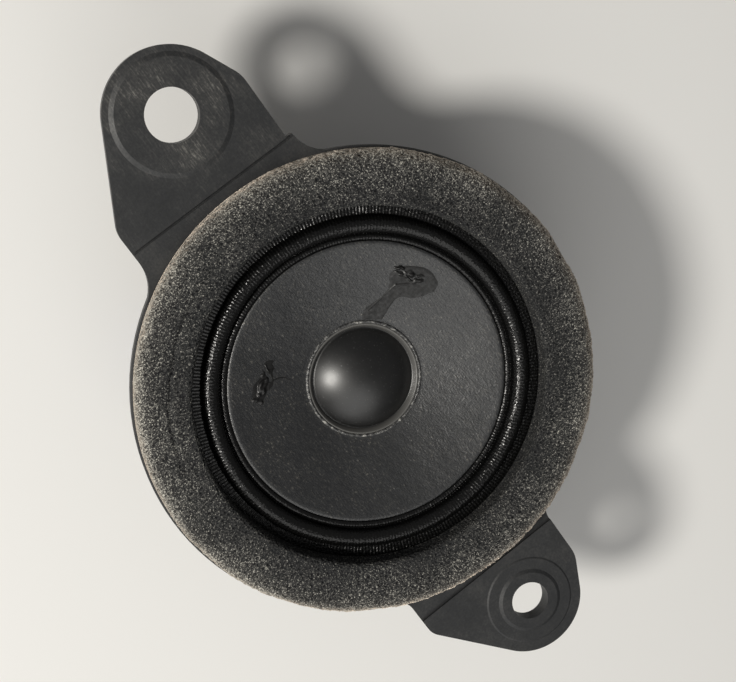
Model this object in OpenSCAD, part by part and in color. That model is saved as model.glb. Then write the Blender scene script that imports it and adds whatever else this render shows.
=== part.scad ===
// Car tweeter: a small paper-cone driver on a moulded basket with two screw ears.
// The front faces +Z, the large ear points along +Y, and the cone's axis is the Z axis.
// Z = 0 is the back face of the flange, where the driver seats on its panel.

/* [Flange] */
// Outer diameter of the round flange: the cone, the foam and the ears follow it
flange_d = 80; // [76:0.5:100]
// Thickness of the flange and of the shoulders of the ears
flange_t = 2; // [1.8:0.1:4]
// Width of the flange's rim outside the collar
flange_lip = 5; // [4:0.1:7]
// Length of the collar behind the flange
spigot_l = 6; // [5:0.5:7]
// Depth of the basket, from the flange's back face to its floor
basket_depth = 12; // [11:0.2:16]
// Wall of the basket
basket_wall = 2; // [1.5:0.1:3]

/* [Large ear] */
// Distance from the flange's edge to the middle of the large ear's hole
big_hole_out = 15.35; // [12:0.05:25]
// Diameter of the large ear's hole
big_hole_d = 8.8; // [5:0.1:12]
// Radius of the ear's round end
big_end_r = 10.95; // [10:0.05:13]
// Distance from the flange's edge to the step where the large ear starts
big_step_out = 1.7; // [0.5:0.1:3]

/* [Small ear] */
// Distance from the flange's edge to the middle of the small ear's hole
small_hole_out = 10.45; // [9:0.05:20]
// Diameter of the small ear's hole
small_hole_d = 6.8; // [4:0.1:8]
// Radius of the ear's round end
small_end_r = 9.8; // [8.6:0.1:11]
// Distance from the flange's edge to the step where the small ear starts
small_step_out = 0.7; // [0.3:0.1:2]

/* [Both ears] */
// Thickness of an ear, whose front stands above the flange
ear_t = 2.5; // [2.2:0.1:4]
// Height of the round seat on the large ear
big_seat_h = 0.3; // [0.1:0.05:0.6]
// Height of the round seat on the small ear
small_seat_h = 0.45; // [0.1:0.05:0.8]

/* [Foam gasket] */
// Thickness of the foam
foam_t = 4; // [3:0.5:8]
// Distance from the surround's roll to the foam
foam_clear = 1.8; // [1.2:0.1:3]

/* [Cone] */
// Depth of the cone from its edge to its neck
cone_depth = 3.5; // [2.5:0.1:4.5]
// Thickness of the cone's paper
cone_t = 0.5; // [0.3:0.05:0.7]
// Height of the dust cap's dome
cap_h = 3.6; // [2:0.1:4.4]

/* [Surround and spider] */
// Thickness of the surround's cloth
cloth_t = 0.35; // [0.25:0.05:0.45]
// Width of the surround's roll
roll_w = 2.9; // [2:0.1:4]
// Height of the surround's roll above its rim
roll_h = 2.05; // [1.5:0.05:2.4]
// Thickness of the spider's cloth
spider_t = 0.35; // [0.25:0.05:0.5]
// Height of the spider's waves above and below its middle
wave_h = 0.55; // [0.3:0.05:0.8]
// Number of the spider's waves
waves = 4; // [3:1:5]

/* [Voice coil] */
// Inner diameter of the voice coil's former
former_d = 19; // [17:0.1:23]
// Length of the winding
winding_l = 6; // [4:0.5:8]

/* [Motor] */
// Diameter of the ring magnet
magnet_d = 40; // [38:0.5:48]
// Thickness of the ring magnet
magnet_t = 8; // [6:0.5:12]
// Thickness of each steel plate
plate_t = 3; // [2.5:0.1:5]

/* [Connector and filter] */
// Inside width of the connector's socket
socket_w = 13; // [12:0.1:14]
// Inside height of the connector's socket
socket_h = 10.2; // [8.6:0.1:12.4]
// Depth of the connector's socket
socket_depth = 8.8; // [7:0.2:11]
// Width of a terminal blade
blade_w = 2.8; // [2:0.1:3.2]
// Diameter of the series capacitor
cap_can_d = 8; // [6:0.5:8]
// Length of the series capacitor
cap_can_l = 16; // [12:0.5:17]

/* [Hidden] */

$fn = 96;
eps = 0.01;          // overlap of a cut past the face that it leaves
fit_gap = 0.1;       // radial play of a piece that is glued or screwed in
face_gap = 0.03;     // play between the glued faces of a moving and a fixed piece

flange_r = flange_d / 2;
spigot_r = flange_r - flange_lip;
floor_z = -basket_depth;
edge_break = 0.3;    // bevel of the flange's front edge

// Outline of the ears, measured from the ear's centre line
big_reach = flange_r + big_hole_out;
big_step = flange_r + big_step_out;
small_reach = flange_r + small_hole_out;
small_step = flange_r + small_step_out;
big_left_w = 18.2;
big_right_w = 12.7;
big_corner_out = 1.2;    // how far the shoulder's right corner stands out past the ear
small_left_w = 17.4;
small_right_w = 11.5;
side_drop = 2.7;         // from the hole back to the corner where the right side starts
ear_side_r = 6;      // corner where the round end turns into the straight side
big_corner_r = 5;
small_corner_r = 3.5;
big_fillet_r = 7;
small_fillet_r = 3;
fillet_bite = 0.1;       // how far a fillet's circle cuts into the flange's
crease_w = 0.5;      // groove across the shoulder, along the step
crease_h = 0.35;
big_seat_r = 9.1;
small_seat_r = 7.7;
small_boss_r = 5.2;
big_seat_slope = 0.8;    // how far the foot of a seat stands out past its top
small_seat_slope = 0.3;
boss_slope = 0.9;

// The rim of the surround lies in a recess of the flange, under a card ring and the foam
card_t = 0.4;
rim_wall = 1.8;      // of the collar, outside the recess
rim_w = 4.3;
rim_out_r = spigot_r - rim_wall;
rim_in_r = rim_out_r - rim_w;
rim_z = flange_t - card_t - cloth_t;
shelf_t = 1.6;
card_back = 0.4;     // from the foam's inner edge back to the card's
roll_gap = 0.4;      // from the roll to the recess's edge
roll_out_r = rim_in_r - roll_gap;
foam_in_r = roll_out_r + foam_clear;
foam_out_r = flange_r - 0.4;
foam_w = foam_out_r - foam_in_r;
card_in_r = foam_in_r + card_back;
foam_round = 1.4;

// Cone and what is glued to it
bead_roll_r = 0.6;                         // small bead of cloth round the cone
bead_gap = 0.17;                           // from that bead to the roll
cone_r = roll_out_r - roll_w - bead_gap - 2 * bead_roll_r - face_gap;
cone_lip = 1;                              // flat land under the cone's edge, for the cloth
cone_z = rim_z + cloth_t + face_gap;       // top of the cone's edge
former_t = 0.2;
former_in_r = former_d / 2;
former_out_r = former_in_r + former_t;
neck_t = 0.5;
neck_r = former_out_r + neck_t;
neck_z = cone_z - cone_depth;
neck_l = 2.2;
cap_r = former_in_r - 0.7;                 // the dome's own edge, inside its turned-up lip
cap_t = 0.3;
cap_lip_h = 1;
cap_dome_z = neck_z - cap_lip_h;
former_top = cap_dome_z - cap_t - 0.2;
slope = cone_depth / (cone_r - cone_lip / 2 - neck_r);

// Motor, from the basket's floor down
floor_t = 2;
floor_hole_r = former_out_r + 3.8;
floor_out_r = spigot_r - 7.8;
plate_z = floor_z - floor_t;
magnet_z = plate_z - plate_t;
back_z = magnet_z - magnet_t;
rear_z = back_z - plate_t;
magnet_r = magnet_d / 2;
plate_r = magnet_r - 0.5;
winding_t = 0.5;
gap_r = former_out_r + winding_t + 0.4;    // bore of the top plate
magnet_in_r = gap_r + 1.6;
copper_t = 0.2;
pole_r = former_in_r - 0.3 - copper_t;
winding_z = plate_z - plate_t / 2 - winding_l / 2;
former_end = winding_z - 0.5;
motor_screw_n = 3;
motor_screw_r = 1.25;
motor_screw_at = (floor_hole_r + plate_r) / 2;
screw_head_h = 1;
head_foot_k = 1.55;      // radius of a screw's head over that of its thread, at the foot
head_top_k = 1.3;
recess_k = 0.18;         // half the width of the cross recess, over the same

// Spider and its seat
seat_in_r = spigot_r - 13.5;
seat_out_r = spigot_r - 10.4;
spider_z = floor_z + 4;
spider_collar_h = 1.1;

// Windows in the basket's slope
window_w = 9;
window_h = 4.5;
window_low = floor_z + 0.5;
window_angles = [0, 30, 180, 210, 240, 270, 300, 330];

// Connector on the large ear's side
pad_w = 24;
pad_in_y = seat_out_r + 0.3;
pad_top = floor_z + 4;
socket_wall = 1.2;
socket_mid_y = max(pad_in_y + 2.4, magnet_r + 1 + socket_wall + socket_h / 2);
key_w = 1.2;         // rib along the socket's side that keys the plug
tab_w = 4.4;
tab_h = 6;
tab_t = 1.5;
blade_t = 0.8;
blade_tip_in = 0.5;  // bevel of a blade's tip, across and along
blade_tip_l = 0.8;
blade_x = 3.2;
blade_out = 1.5;     // length of a blade past the plastic inside the basket
blade_inset = 1;
blade_play = 0.05;
blade_y = socket_mid_y;
solder_r = 1.1;
solder_top_r = 0.5;
solder_h = 1.5;
solder_low = 0.7;    // from a joint's middle down to its foot
blade_foot_z = max(pad_top, slope_z(blade_y + solder_r));
blade_top = blade_foot_z + blade_out;
hous_z = plate_z - socket_wall;            // inner end of the socket
mouth_z = hous_z - socket_depth;
conn_screw_r = 1.1;
conn_screw_x = socket_w / 2 + socket_wall + tab_w / 2;
conn_screw_l = 5.5;

// Capacitor under the basket's slope
can_r = cap_can_d / 2;
can_seal = 0.5;      // depth of the can's sealed end below its sleeve
sleeve_t = 0.2;
can_angle = 140;
can_mid_r = spigot_r - 2.4 - can_r;
can_z = plate_z - can_r - 0.2;
wire_r = 0.3;
wire_out = 2;        // from the can's end to the middle of a lead's upright part
wire_bend_r = 0.9;
foot_r = norm([can_mid_r, cap_can_l / 2 + wire_out]);
solder_clear = 0.54; // from the basket's slope up to a joint
wire_top = slope_z(foot_r + solder_r) + solder_clear + solder_low;
glue_in_r = max(can_mid_r - 1.2 * can_r, magnet_r + 0.3);
glue_out_r = can_mid_r + 0.4 * can_r;

// Lead ties on the cone
tie_at = cone_r - 5.6;
tie_right_angle = 34;
tie_left_angle = 143;
tie_hole_r = 0.6;
tie_h = 0.55;
tie_foot_r = 2.2;    // of the glue drop, cut off again by the cone's face
tie_top_r = 1.4;
tie_stub_z = -1.6;
lead_gap = 0.15;      // from a stub to the braided lead under it
ridge_w = 1.3;
ridge_h = 0.25;

// Height of the basket's inner face at a radius, between its floor and its collar
function slope_z(r) = floor_z + (r - floor_out_r + basket_wall)
    * (basket_wall / 2 - spigot_l - floor_z) / (spigot_r - floor_out_r);

// Height of the cone's face at a radius
function cone_top(r) = neck_z + (min(r, cone_r - cone_lip / 2) - neck_r) * slope;

// Point at a radius and an angle
function polar(r, a, z) = [r * cos(a), r * sin(a), z];

// Length of a vector, and the vector made one long
function unit(v) = v / norm(v);

// A tube swept along points: rings of a regular polygon, one on each point
module wire(points, r, sides = 8) {
    n = len(points);
    dirs = [for (i = [0:n - 1]) unit(points[min(i + 1, n - 1)] - points[max(i - 1, 0)])];
    side = [for (d = dirs) unit(cross(d, abs(d[2]) > 0.9 ? [1, 0.2, 0] : [0.1, 0, 1]))];
    rings = [
        for (i = [0:n - 1]) for (k = [0:sides - 1])
            points[i] + r * (cos(k * 360 / sides) * side[i] + sin(k * 360 / sides) * cross(dirs[i], side[i]))
    ];
    walls = [
        for (i = [0:n - 2]) for (k = [0:sides - 1])
            let (a = i * sides + k, b = i * sides + (k + 1) % sides)
                [a, a + sides, b + sides, b]
    ];
    first = [for (k = [0:sides - 1]) k];
    last = [for (k = [sides - 1:-1:0]) (n - 1) * sides + k];
    polyhedron(rings, concat([first], walls, [last]), convexity = 4);
}

// Points of a smooth curve through hand-chosen ones
function spline(p, i, t) =
    let (a = p[max(i - 1, 0)], b = p[i], c = p[i + 1], d = p[min(i + 2, len(p) - 1)])
        0.5 * (2 * b + t * (c - a) + t * t * (2 * a - 5 * b + 4 * c - d)
            + t * t * t * (3 * b - a - 3 * c + d));
function curve(p, steps) = [
    for (i = [0:len(p) - 2]) for (k = [0:steps - 1]) spline(p, i, k / steps), p[len(p) - 1]
];

// Area of a shoulder: from the flange out to the step, with round corners in the flange's edge
module shoulder_plan(left_w, right_w, reach, fillet_r) {
    far = flange_r + fillet_r - fillet_bite;
    left_y = sqrt(far * far - pow(left_w + fillet_r, 2));
    right_y = sqrt(far * far - pow(right_w + fillet_r, 2));
    left = [-left_w - fillet_r, left_y];
    right = [right_w + fillet_r, right_y];
    root_r = flange_r - 3 * fillet_bite;
    difference() {
        polygon([
            [-left_w, reach], [-left_w, min(left_y, reach)], left * root_r / far, [0, 0],
            right * root_r / far, [right_w, min(right_y, reach)], [right_w, reach]
        ]);
        translate(left) circle(r = fillet_r);
        translate(right) circle(r = fillet_r);
    }
}

// Area of an ear beyond its step
module ear_plan(left_w, right_w, reach, end_r, step, corner_r) {
    intersection() {
        hull() {
            translate([0, reach]) circle(r = end_r);
            translate([right_w - ear_side_r, reach - side_drop]) circle(r = ear_side_r);
            translate([corner_r - left_w, step + corner_r / 2]) circle(r = corner_r);
            translate([-left_w, step - 2]) square([left_w + right_w, 2]);
        }
        translate([-flange_r, step]) square([flange_d, reach]);
    }
}

// Section of the basket, as (radius, height) points
basket_section = [
    [rim_in_r, rim_z], [rim_out_r, rim_z], [rim_out_r, flange_t],
    [flange_r - edge_break, flange_t], [flange_r, flange_t - edge_break], [flange_r, 0],
    [spigot_r, 0], [spigot_r, -spigot_l], [floor_out_r, plate_z], [floor_hole_r, plate_z],
    [floor_hole_r, floor_z], [floor_out_r - basket_wall, floor_z],
    [spigot_r - basket_wall, basket_wall / 2 - spigot_l],
    [spigot_r - basket_wall, rim_z - shelf_t], [rim_in_r, rim_z - shelf_t]
];

// Where the four leads pass the basket's slope
can_axis = [cos(can_angle - 90), sin(can_angle - 90), 0];
can_mid = polar(can_mid_r, can_angle, can_z);
near_foot = can_mid + can_axis * (cap_can_l / 2 + wire_out);
far_foot = can_mid - can_axis * (cap_can_l / 2 + wire_out);

module lead_hole(foot) {
    translate([foot[0], foot[1], plate_z - eps]) cylinder(r = wire_r + fit_gap, h = wire_top - plate_z);
}

module pad_block() {
    intersection() {
        translate([-pad_w / 2, pad_in_y, plate_z]) cube([pad_w, spigot_r - pad_in_y, pad_top - plate_z]);
        translate([0, 0, plate_z]) cylinder(r = spigot_r - fit_gap, h = pad_top - plate_z);
    }
}

module blade_slot(x) {
    translate([x - blade_w / 2 - blade_play, blade_y - blade_t / 2 - blade_play, hous_z - 1])
        cube([blade_w + 2 * blade_play, blade_t + 2 * blade_play, blade_top - hous_z + 2]);
}

module basket() color("#2c2c2e") difference() {
    union() {
        rotate_extrude() polygon(basket_section);
        difference() {
            linear_extrude(flange_t) union() {
                shoulder_plan(big_left_w, big_right_w + big_corner_out, big_step, big_fillet_r);
                mirror([0, 1]) shoulder_plan(small_left_w, small_right_w, small_step, small_fillet_r);
            }
            translate([0, 0, -1]) cylinder(r = flange_r - 2, h = flange_t + 2);
            translate([-flange_r, big_step - crease_w, flange_t - crease_h])
                cube([flange_d, crease_w, crease_h + eps]);
        }
        linear_extrude(ear_t)
            ear_plan(big_left_w, big_right_w, big_reach, big_end_r, big_step, big_corner_r);
        linear_extrude(ear_t) mirror([0, 1])
            ear_plan(small_left_w, small_right_w, small_reach, small_end_r, small_step, small_corner_r);
        translate([0, big_reach, ear_t])
            cylinder(r1 = big_seat_r + big_seat_slope, r2 = big_seat_r, h = big_seat_h);
        translate([0, -small_reach, ear_t])
            cylinder(r1 = small_seat_r + small_seat_slope, r2 = small_seat_r, h = small_seat_h / 3);
        translate([0, -small_reach, ear_t])
            cylinder(r1 = small_boss_r + boss_slope, r2 = small_boss_r, h = small_seat_h);
        pad_block();
    }
    translate([0, big_reach, -1]) cylinder(d = big_hole_d, h = ear_t + big_seat_h + 2);
    translate([0, -small_reach, -1]) cylinder(d = small_hole_d, h = ear_t + small_seat_h + 2);
    for (a = window_angles) rotate(a)
        translate([seat_out_r + 0.2, -window_w / 2, window_low]) cube([flange_r, window_w, window_h]);
    for (k = [0:motor_screw_n - 1]) rotate(k * 360 / motor_screw_n + 30)
        translate([motor_screw_at, 0, plate_z - 1]) cylinder(r = motor_screw_r + fit_gap, h = floor_t + 2);
    for (x = [-blade_x, blade_x]) blade_slot(x);
    for (x = [-conn_screw_x, conn_screw_x]) translate([x, blade_y, plate_z - eps])
        cylinder(r = conn_screw_r, h = conn_screw_l - tab_t + 0.5);
    lead_hole(near_foot);
    lead_hole(far_foot);
    translate([0, 0, flange_t]) cylinder(r = foam_out_r + fit_gap, h = ear_t);
}

module foam_gasket() color("#3a3836") {
    rotate_extrude() translate([foam_in_r, flange_t]) union() {
        square([foam_w, foam_t - foam_round]);
        translate([foam_round, 0]) square([foam_w - 2 * foam_round, foam_t]);
        translate([foam_round, foam_t - foam_round]) circle(r = foam_round);
        translate([foam_w - foam_round, foam_t - foam_round]) circle(r = foam_round);
    }
}

module clamp_ring() color("#2e2c2a") {
    rotate_extrude() translate([card_in_r, flange_t - card_t])
        square([rim_out_r - fit_gap - card_in_r, card_t]);
}

// Half of a round pipe wall, standing on its cut
module half_roll(r, t) {
    intersection() {
        difference() {
            circle(r = r);
            circle(r = r - t);
        }
        translate([-r, 0]) square([2 * r, r]);
    }
}

// The cloth: glued land under the cone, small bead, main roll, and the rim on the basket
bead_mid_r = cone_r + face_gap + bead_roll_r;
roll_r = roll_w / 2;
roll_mid_r = roll_out_r - roll_r;
roll_leg = roll_h - roll_r;
cloth_z = cone_z - cone_t - face_gap - cloth_t;
module surround() color("#1c1c1e") rotate_extrude() {
    translate([cone_r - cone_lip, cloth_z]) square([cone_lip + face_gap + cloth_t, cloth_t]);
    translate([bead_mid_r - bead_roll_r, cloth_z]) square([cloth_t, rim_z - cloth_z]);
    translate([bead_mid_r, rim_z]) half_roll(bead_roll_r, cloth_t);
    translate([bead_mid_r + bead_roll_r - cloth_t, rim_z])
        square([roll_mid_r - roll_r - bead_mid_r - bead_roll_r + 2 * cloth_t, cloth_t]);
    for (x = [-roll_r, roll_r - cloth_t]) translate([roll_mid_r + x, rim_z]) square([cloth_t, roll_leg]);
    translate([roll_mid_r, rim_z + roll_leg]) half_roll(roll_r, cloth_t);
    translate([roll_mid_r + roll_r - cloth_t, rim_z])
        square([rim_out_r - fit_gap - roll_mid_r - roll_r + cloth_t, cloth_t]);
}

// Section of the cone: lip, slope and the collar on the former
module cone_section() {
    lip_in = cone_r - cone_lip;
    polygon([
        [neck_r, neck_z], [cone_r - cone_lip / 2, cone_z], [cone_r, cone_z], [cone_r, cone_z - cone_t],
        [lip_in, cone_z - cone_t], [neck_r + cone_t, cone_top(neck_r + cone_t) - cone_t * 1.4],
        [neck_r, neck_z - cone_t * 1.6], [neck_r, neck_z - neck_l],
        [former_out_r, neck_z - neck_l], [former_out_r, neck_z]
    ]);
}

module cone() color("#3d3d3f") difference() {
    rotate_extrude() cone_section();
    for (a = [tie_right_angle, tie_left_angle]) translate(polar(tie_at, a, neck_z - neck_l))
        cylinder(r = tie_hole_r, h = 2 * neck_l + cone_depth);
}

// The dome stands inside a turned-up lip that is glued in the cone's neck
dome_r = (cap_r * cap_r + cap_h * cap_h) / (2 * cap_h);
module dust_cap() color("#141416") {
    rotate_extrude() union() {
        intersection() {
            translate([0, cap_dome_z + cap_h - dome_r]) difference() {
                circle(r = dome_r);
                circle(r = dome_r - cap_t);
            }
            translate([0, cap_dome_z]) square([cap_r, cap_h + 1]);
        }
        polygon([
            [cap_r - cap_t, cap_dome_z - cap_t], [cap_r + cap_t, cap_dome_z - cap_t],
            [former_out_r, neck_z - cap_t], [former_out_r, neck_z], [former_out_r - cap_t, neck_z],
            [cap_r, cap_dome_z + cap_t / 3], [cap_r - cap_t, cap_dome_z + cap_t]
        ]);
    }
}

module neck_glue_bead() color("#242426") {
    rotate_extrude() translate([former_out_r + neck_t / 2, neck_z]) intersection() {
        circle(r = neck_t / 2);
        translate([-neck_t, 0]) square(2 * neck_t);
    }
}

module coil_former() color("#b08d57") translate([0, 0, former_end]) difference() {
    cylinder(r = former_out_r, h = former_top - former_end);
    translate([0, 0, -1]) cylinder(r = former_in_r, h = former_top - former_end + 2);
}

module coil_winding() color("#b5651d") translate([0, 0, winding_z]) difference() {
    cylinder(r = former_out_r + winding_t, h = winding_l);
    translate([0, 0, -1]) cylinder(r = former_out_r, h = winding_l + 2);
}

// A thin layer on the cone's face, from its neck out to a radius
module face_layer(r, h) {
    rotate_extrude() polygon([
        [neck_r + neck_t, cone_top(neck_r + neck_t)], [r, cone_top(r)],
        [r, cone_top(r) + h], [neck_r + neck_t, cone_top(neck_r + neck_t) + h]
    ]);
}

module coil_leads() color("#2a2523") {
    for (a = [tie_right_angle + 6, tie_left_angle - 6]) intersection() {
        face_layer(tie_at - 2.4, ridge_h);
        rotate(a) translate([0, -ridge_w / 2, neck_z - 1]) cube([cone_r, ridge_w, cone_depth + 2]);
    }
}

// A drop of glue on the cone's face, with the lead's end in a stub through the cone
module lead_tie(a) {
    intersection() {
        face_layer(tie_at + 3, tie_h);
        translate(polar(tie_at, a, neck_z - 1))
            cylinder(r1 = tie_foot_r, r2 = tie_top_r, h = cone_depth + 3);
    }
    translate(polar(tie_at, a, tie_stub_z))
        cylinder(r = tie_hole_r - 0.05, h = cone_top(tie_at) - tie_stub_z + 0.3);
}
module lead_tie_left() color("#1f1d1c") lead_tie(tie_left_angle);
module lead_tie_right() color("#1f1d1c") lead_tie(tie_right_angle);

// Corrugated cloth disc between the former and its ring
collar_in_r = former_out_r + fit_gap;
wave_in_r = collar_in_r + 1.4;
wave_step = (seat_in_r - wave_in_r) / (waves * 8);
function wave_z(i) = wave_h * sin(i * 45);
wave_top = [for (i = [0:waves * 8]) [wave_in_r + i * wave_step, spider_z + spider_t + wave_z(i)]];
wave_low = [for (i = [waves * 8:-1:0]) [wave_in_r + i * wave_step, spider_z + wave_z(i)]];
module spider() color("#c9a35a") rotate_extrude() polygon(concat(
    [
        [collar_in_r, spider_z], [collar_in_r, spider_z + spider_collar_h],
        [collar_in_r + spider_t, spider_z + spider_collar_h], [collar_in_r + spider_t, spider_z + spider_t]
    ],
    wave_top, [[seat_out_r, spider_z + spider_t], [seat_out_r, spider_z]], wave_low
));

module spider_ring() color("#2b2b2b") rotate_extrude()
    translate([seat_in_r, floor_z]) square([seat_out_r - seat_in_r, spider_z - floor_z]);

module top_plate() color("#9a9a98") difference() {
    translate([0, 0, magnet_z]) cylinder(r = plate_r, h = plate_t);
    translate([0, 0, magnet_z - 1]) cylinder(r = gap_r, h = plate_t + 2);
    for (k = [0:motor_screw_n - 1]) rotate(k * 360 / motor_screw_n + 30)
        translate([motor_screw_at, 0, magnet_z - 1]) cylinder(r = motor_screw_r, h = plate_t + 2);
}

module ring_magnet() color("#3b3b3d") translate([0, 0, back_z]) difference() {
    cylinder(r = magnet_r, h = magnet_t);
    translate([0, 0, -1]) cylinder(r = magnet_in_r, h = magnet_t + 2);
}

module yoke() color("#8f9092") {
    rotate_extrude() polygon([
        [0, rear_z + 0.4], [3, rear_z + 0.4], [3.4, rear_z], [plate_r - 0.5, rear_z],
        [plate_r, rear_z + 0.5], [plate_r, back_z], [pole_r, back_z], [pole_r, plate_z], [0, plate_z]
    ]);
}

module shorting_cap() color("#b87333") rotate_extrude() union() {
    translate([0, plate_z]) square([pole_r + copper_t, copper_t]);
    translate([pole_r, plate_z - plate_t - 2]) square([copper_t, plate_t + 2 + copper_t]);
}

// A screw that points down, its head standing on height zero
module pan_screw(r, l, head_h) {
    difference() {
        union() {
            cylinder(r1 = r * head_foot_k, r2 = r * head_top_k, h = head_h);
            translate([0, 0, -l]) cylinder(r = r, h = l + eps);
        }
        for (a = [0, 90]) rotate(a)
            translate([-r, -r * recess_k, head_h / 2]) cube([2 * r, 2 * r * recess_k, head_h]);
    }
}

module motor_screws() color("#8c8c88") {
    length = floor_t + plate_t - 0.3;
    for (k = [0:motor_screw_n - 1]) rotate(k * 360 / motor_screw_n + 30)
        translate([motor_screw_at, 0, floor_z]) pan_screw(motor_screw_r, length, screw_head_h);
}

module connector_housing() color("#e4e0d2") difference() {
    out_w = socket_w + 2 * socket_wall;
    out_h = socket_h + 2 * socket_wall;
    union() {
        translate([-out_w / 2, socket_mid_y - out_h / 2, mouth_z]) cube([out_w, out_h, plate_z - mouth_z]);
        translate([-out_w / 2 - tab_w, socket_mid_y - tab_h / 2, plate_z - tab_t])
            cube([out_w + 2 * tab_w, tab_h, tab_t]);
        for (x = [-out_w / 4, out_w / 4])
            translate([x - key_w / 2, socket_mid_y - out_h / 2 - key_w / 2, mouth_z])
                cube([key_w, key_w, plate_z - mouth_z]);
    }
    translate([-socket_w / 2, socket_mid_y - socket_h / 2, mouth_z - 1])
        cube([socket_w, socket_h, socket_depth + 1]);
    for (x = [-blade_x, blade_x]) blade_slot(x);
    for (x = [-conn_screw_x, conn_screw_x]) translate([x, socket_mid_y, plate_z - tab_t - 1])
        cylinder(r = conn_screw_r + fit_gap, h = tab_t + 2);
}

module connector_screws() color("#9a9a96") {
    for (x = [-conn_screw_x, conn_screw_x]) translate([x, socket_mid_y, plate_z - tab_t])
        mirror([0, 0, 1]) pan_screw(conn_screw_r, conn_screw_l, screw_head_h);
}

// A blade stands in the socket, passes the pad and ends in a solder post
module blade(x) {
    length = blade_top - mouth_z - blade_inset;
    translate([x, blade_y, mouth_z + blade_inset]) rotate([90, 0, 0])
        linear_extrude(blade_t, center = true) polygon([
            [blade_tip_in - blade_w / 2, 0], [blade_w / 2 - blade_tip_in, 0],
            [blade_w / 2, blade_tip_l], [blade_w / 2, length],
            [-blade_w / 2, length], [-blade_w / 2, blade_tip_l]
        ]);
}
module blade_left() color("#c8b273") blade(-blade_x);
module blade_right() color("#c8b273") blade(blade_x);

// Tinsel leads: round numbers, from the stub under the cone down to their solder joints
left_start = polar(tie_at, tie_left_angle, tie_stub_z - lead_gap);
left_route = [
    left_start, left_start - [0, 0, 1], polar(tie_at + 1.1, 146, wire_top + 1),
    polar(tie_at + 3.1, 153, wire_top), polar(tie_at + 6.1, 158, wire_top + 0.6),
    polar(tie_at + 8.8, 158, wire_top + 1.2),
    far_foot + [0.6, 0, wire_top + 1 - can_z], far_foot + [0, 0, wire_top + 0.2 - can_z]
];
right_start = polar(tie_at, tie_right_angle, tie_stub_z - lead_gap);
right_route = [
    right_start, right_start - [0, 0, 1], polar(tie_at + 3, 40, wire_top + 1),
    polar(tie_at + 5.4, 50, wire_top), polar(tie_at + 6.4, 62, wire_top + 0.2),
    [blade_x + 4, blade_y - 1.7, wire_top + 1], [blade_x + 1, blade_y, blade_top + 1.2],
    [blade_x, blade_y, blade_top + 0.2]
];
tinsel_r = 0.4;
module tinsel_lead_left() color("#b9835a") wire(curve(left_route, 4), tinsel_r);
module tinsel_lead_right() color("#b9835a") wire(curve(right_route, 4), tinsel_r);

// Short wire inside the basket, from the left blade to the capacitor's near lead
jumper_route = [
    [-blade_x, blade_y, blade_top + 0.2], [-blade_x - 1, blade_y, blade_top + 1],
    polar(foot_r - 0.8, 105.7, wire_top + 0.6), polar(foot_r + 0.1, 113.2, wire_top + 0.6),
    near_foot + [1, 0, wire_top + 1 - can_z], near_foot + [0, 0, wire_top + 0.2 - can_z]
];
sleeve_r = 0.45;
module jumper_wire() color("#7a2320") wire(curve(jumper_route, 4), sleeve_r);

module solder_drop(p) {
    translate(p - [0, 0, solder_low]) cylinder(r1 = solder_r, r2 = solder_top_r, h = solder_h);
}
module solder_joints() color("#b4b6b8") {
    solder_drop([-blade_x, blade_y, blade_top + 0.2]);
    solder_drop([blade_x, blade_y, blade_top + 0.2]);
    solder_drop(near_foot + [0, 0, wire_top - can_z]);
    solder_drop(far_foot + [0, 0, wire_top - can_z]);
}

// Rolled can with its ends sealed a little below the sleeve's edge
module capacitor() color("#1f3f8a") translate(can_mid) rotate([0, 90, can_angle - 90]) {
    translate([0, 0, -cap_can_l / 2]) rotate_extrude() polygon([
        [0, can_seal], [can_r - 4 * sleeve_t, can_seal], [can_r - 3 * sleeve_t, 0],
        [can_r - sleeve_t, 0], [can_r, sleeve_t], [can_r, cap_can_l - sleeve_t],
        [can_r - sleeve_t, cap_can_l], [can_r - 3 * sleeve_t, cap_can_l],
        [can_r - 4 * sleeve_t, cap_can_l - can_seal], [0, cap_can_l - can_seal]
    ]);
}

// A lead leaves the can's end, bends up and passes the basket's slope
module can_lead(side) {
    foot = cap_can_l / 2 + wire_out;
    root = foot - wire_out - can_seal;
    translate(can_mid) rotate(can_angle - side * 90) {
        translate([root, 0, 0]) rotate([0, 90, 0]) cylinder(r = wire_r, h = foot - root - wire_bend_r);
        translate([foot - wire_bend_r, 0, wire_bend_r]) rotate([90, 0, 0]) rotate(-90)
            rotate_extrude(angle = 90) translate([wire_bend_r, 0]) circle(r = wire_r);
        translate([foot, 0, wire_bend_r]) cylinder(r = wire_r, h = wire_top - can_z - wire_bend_r);
    }
}
module capacitor_leads() color("#b9bcc0") {
    can_lead(1);
    can_lead(-1);
}

// Hot glue that fills the corner between the can, the basket and the magnet
module capacitor_glue() color("#d8d3c4") difference() {
    rotate(can_angle) translate([glue_in_r, -cap_can_l / 4, can_z])
        cube([glue_out_r - glue_in_r, cap_can_l / 2, plate_z - can_z]);
    translate(can_mid) rotate([0, 90, can_angle - 90])
        translate([0, 0, -cap_can_l]) cylinder(r = can_r, h = 2 * cap_can_l);
}

basket();
foam_gasket();
clamp_ring();
surround();
cone();
dust_cap();
neck_glue_bead();
coil_former();
coil_winding();
coil_leads();
lead_tie_left();
lead_tie_right();
spider();
spider_ring();
top_plate();
ring_magnet();
yoke();
shorting_cap();
motor_screws();
connector_housing();
connector_screws();
blade_left();
blade_right();
tinsel_lead_left();
tinsel_lead_right();
jumper_wire();
solder_joints();
capacitor();
capacitor_leads();
capacitor_glue();
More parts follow.
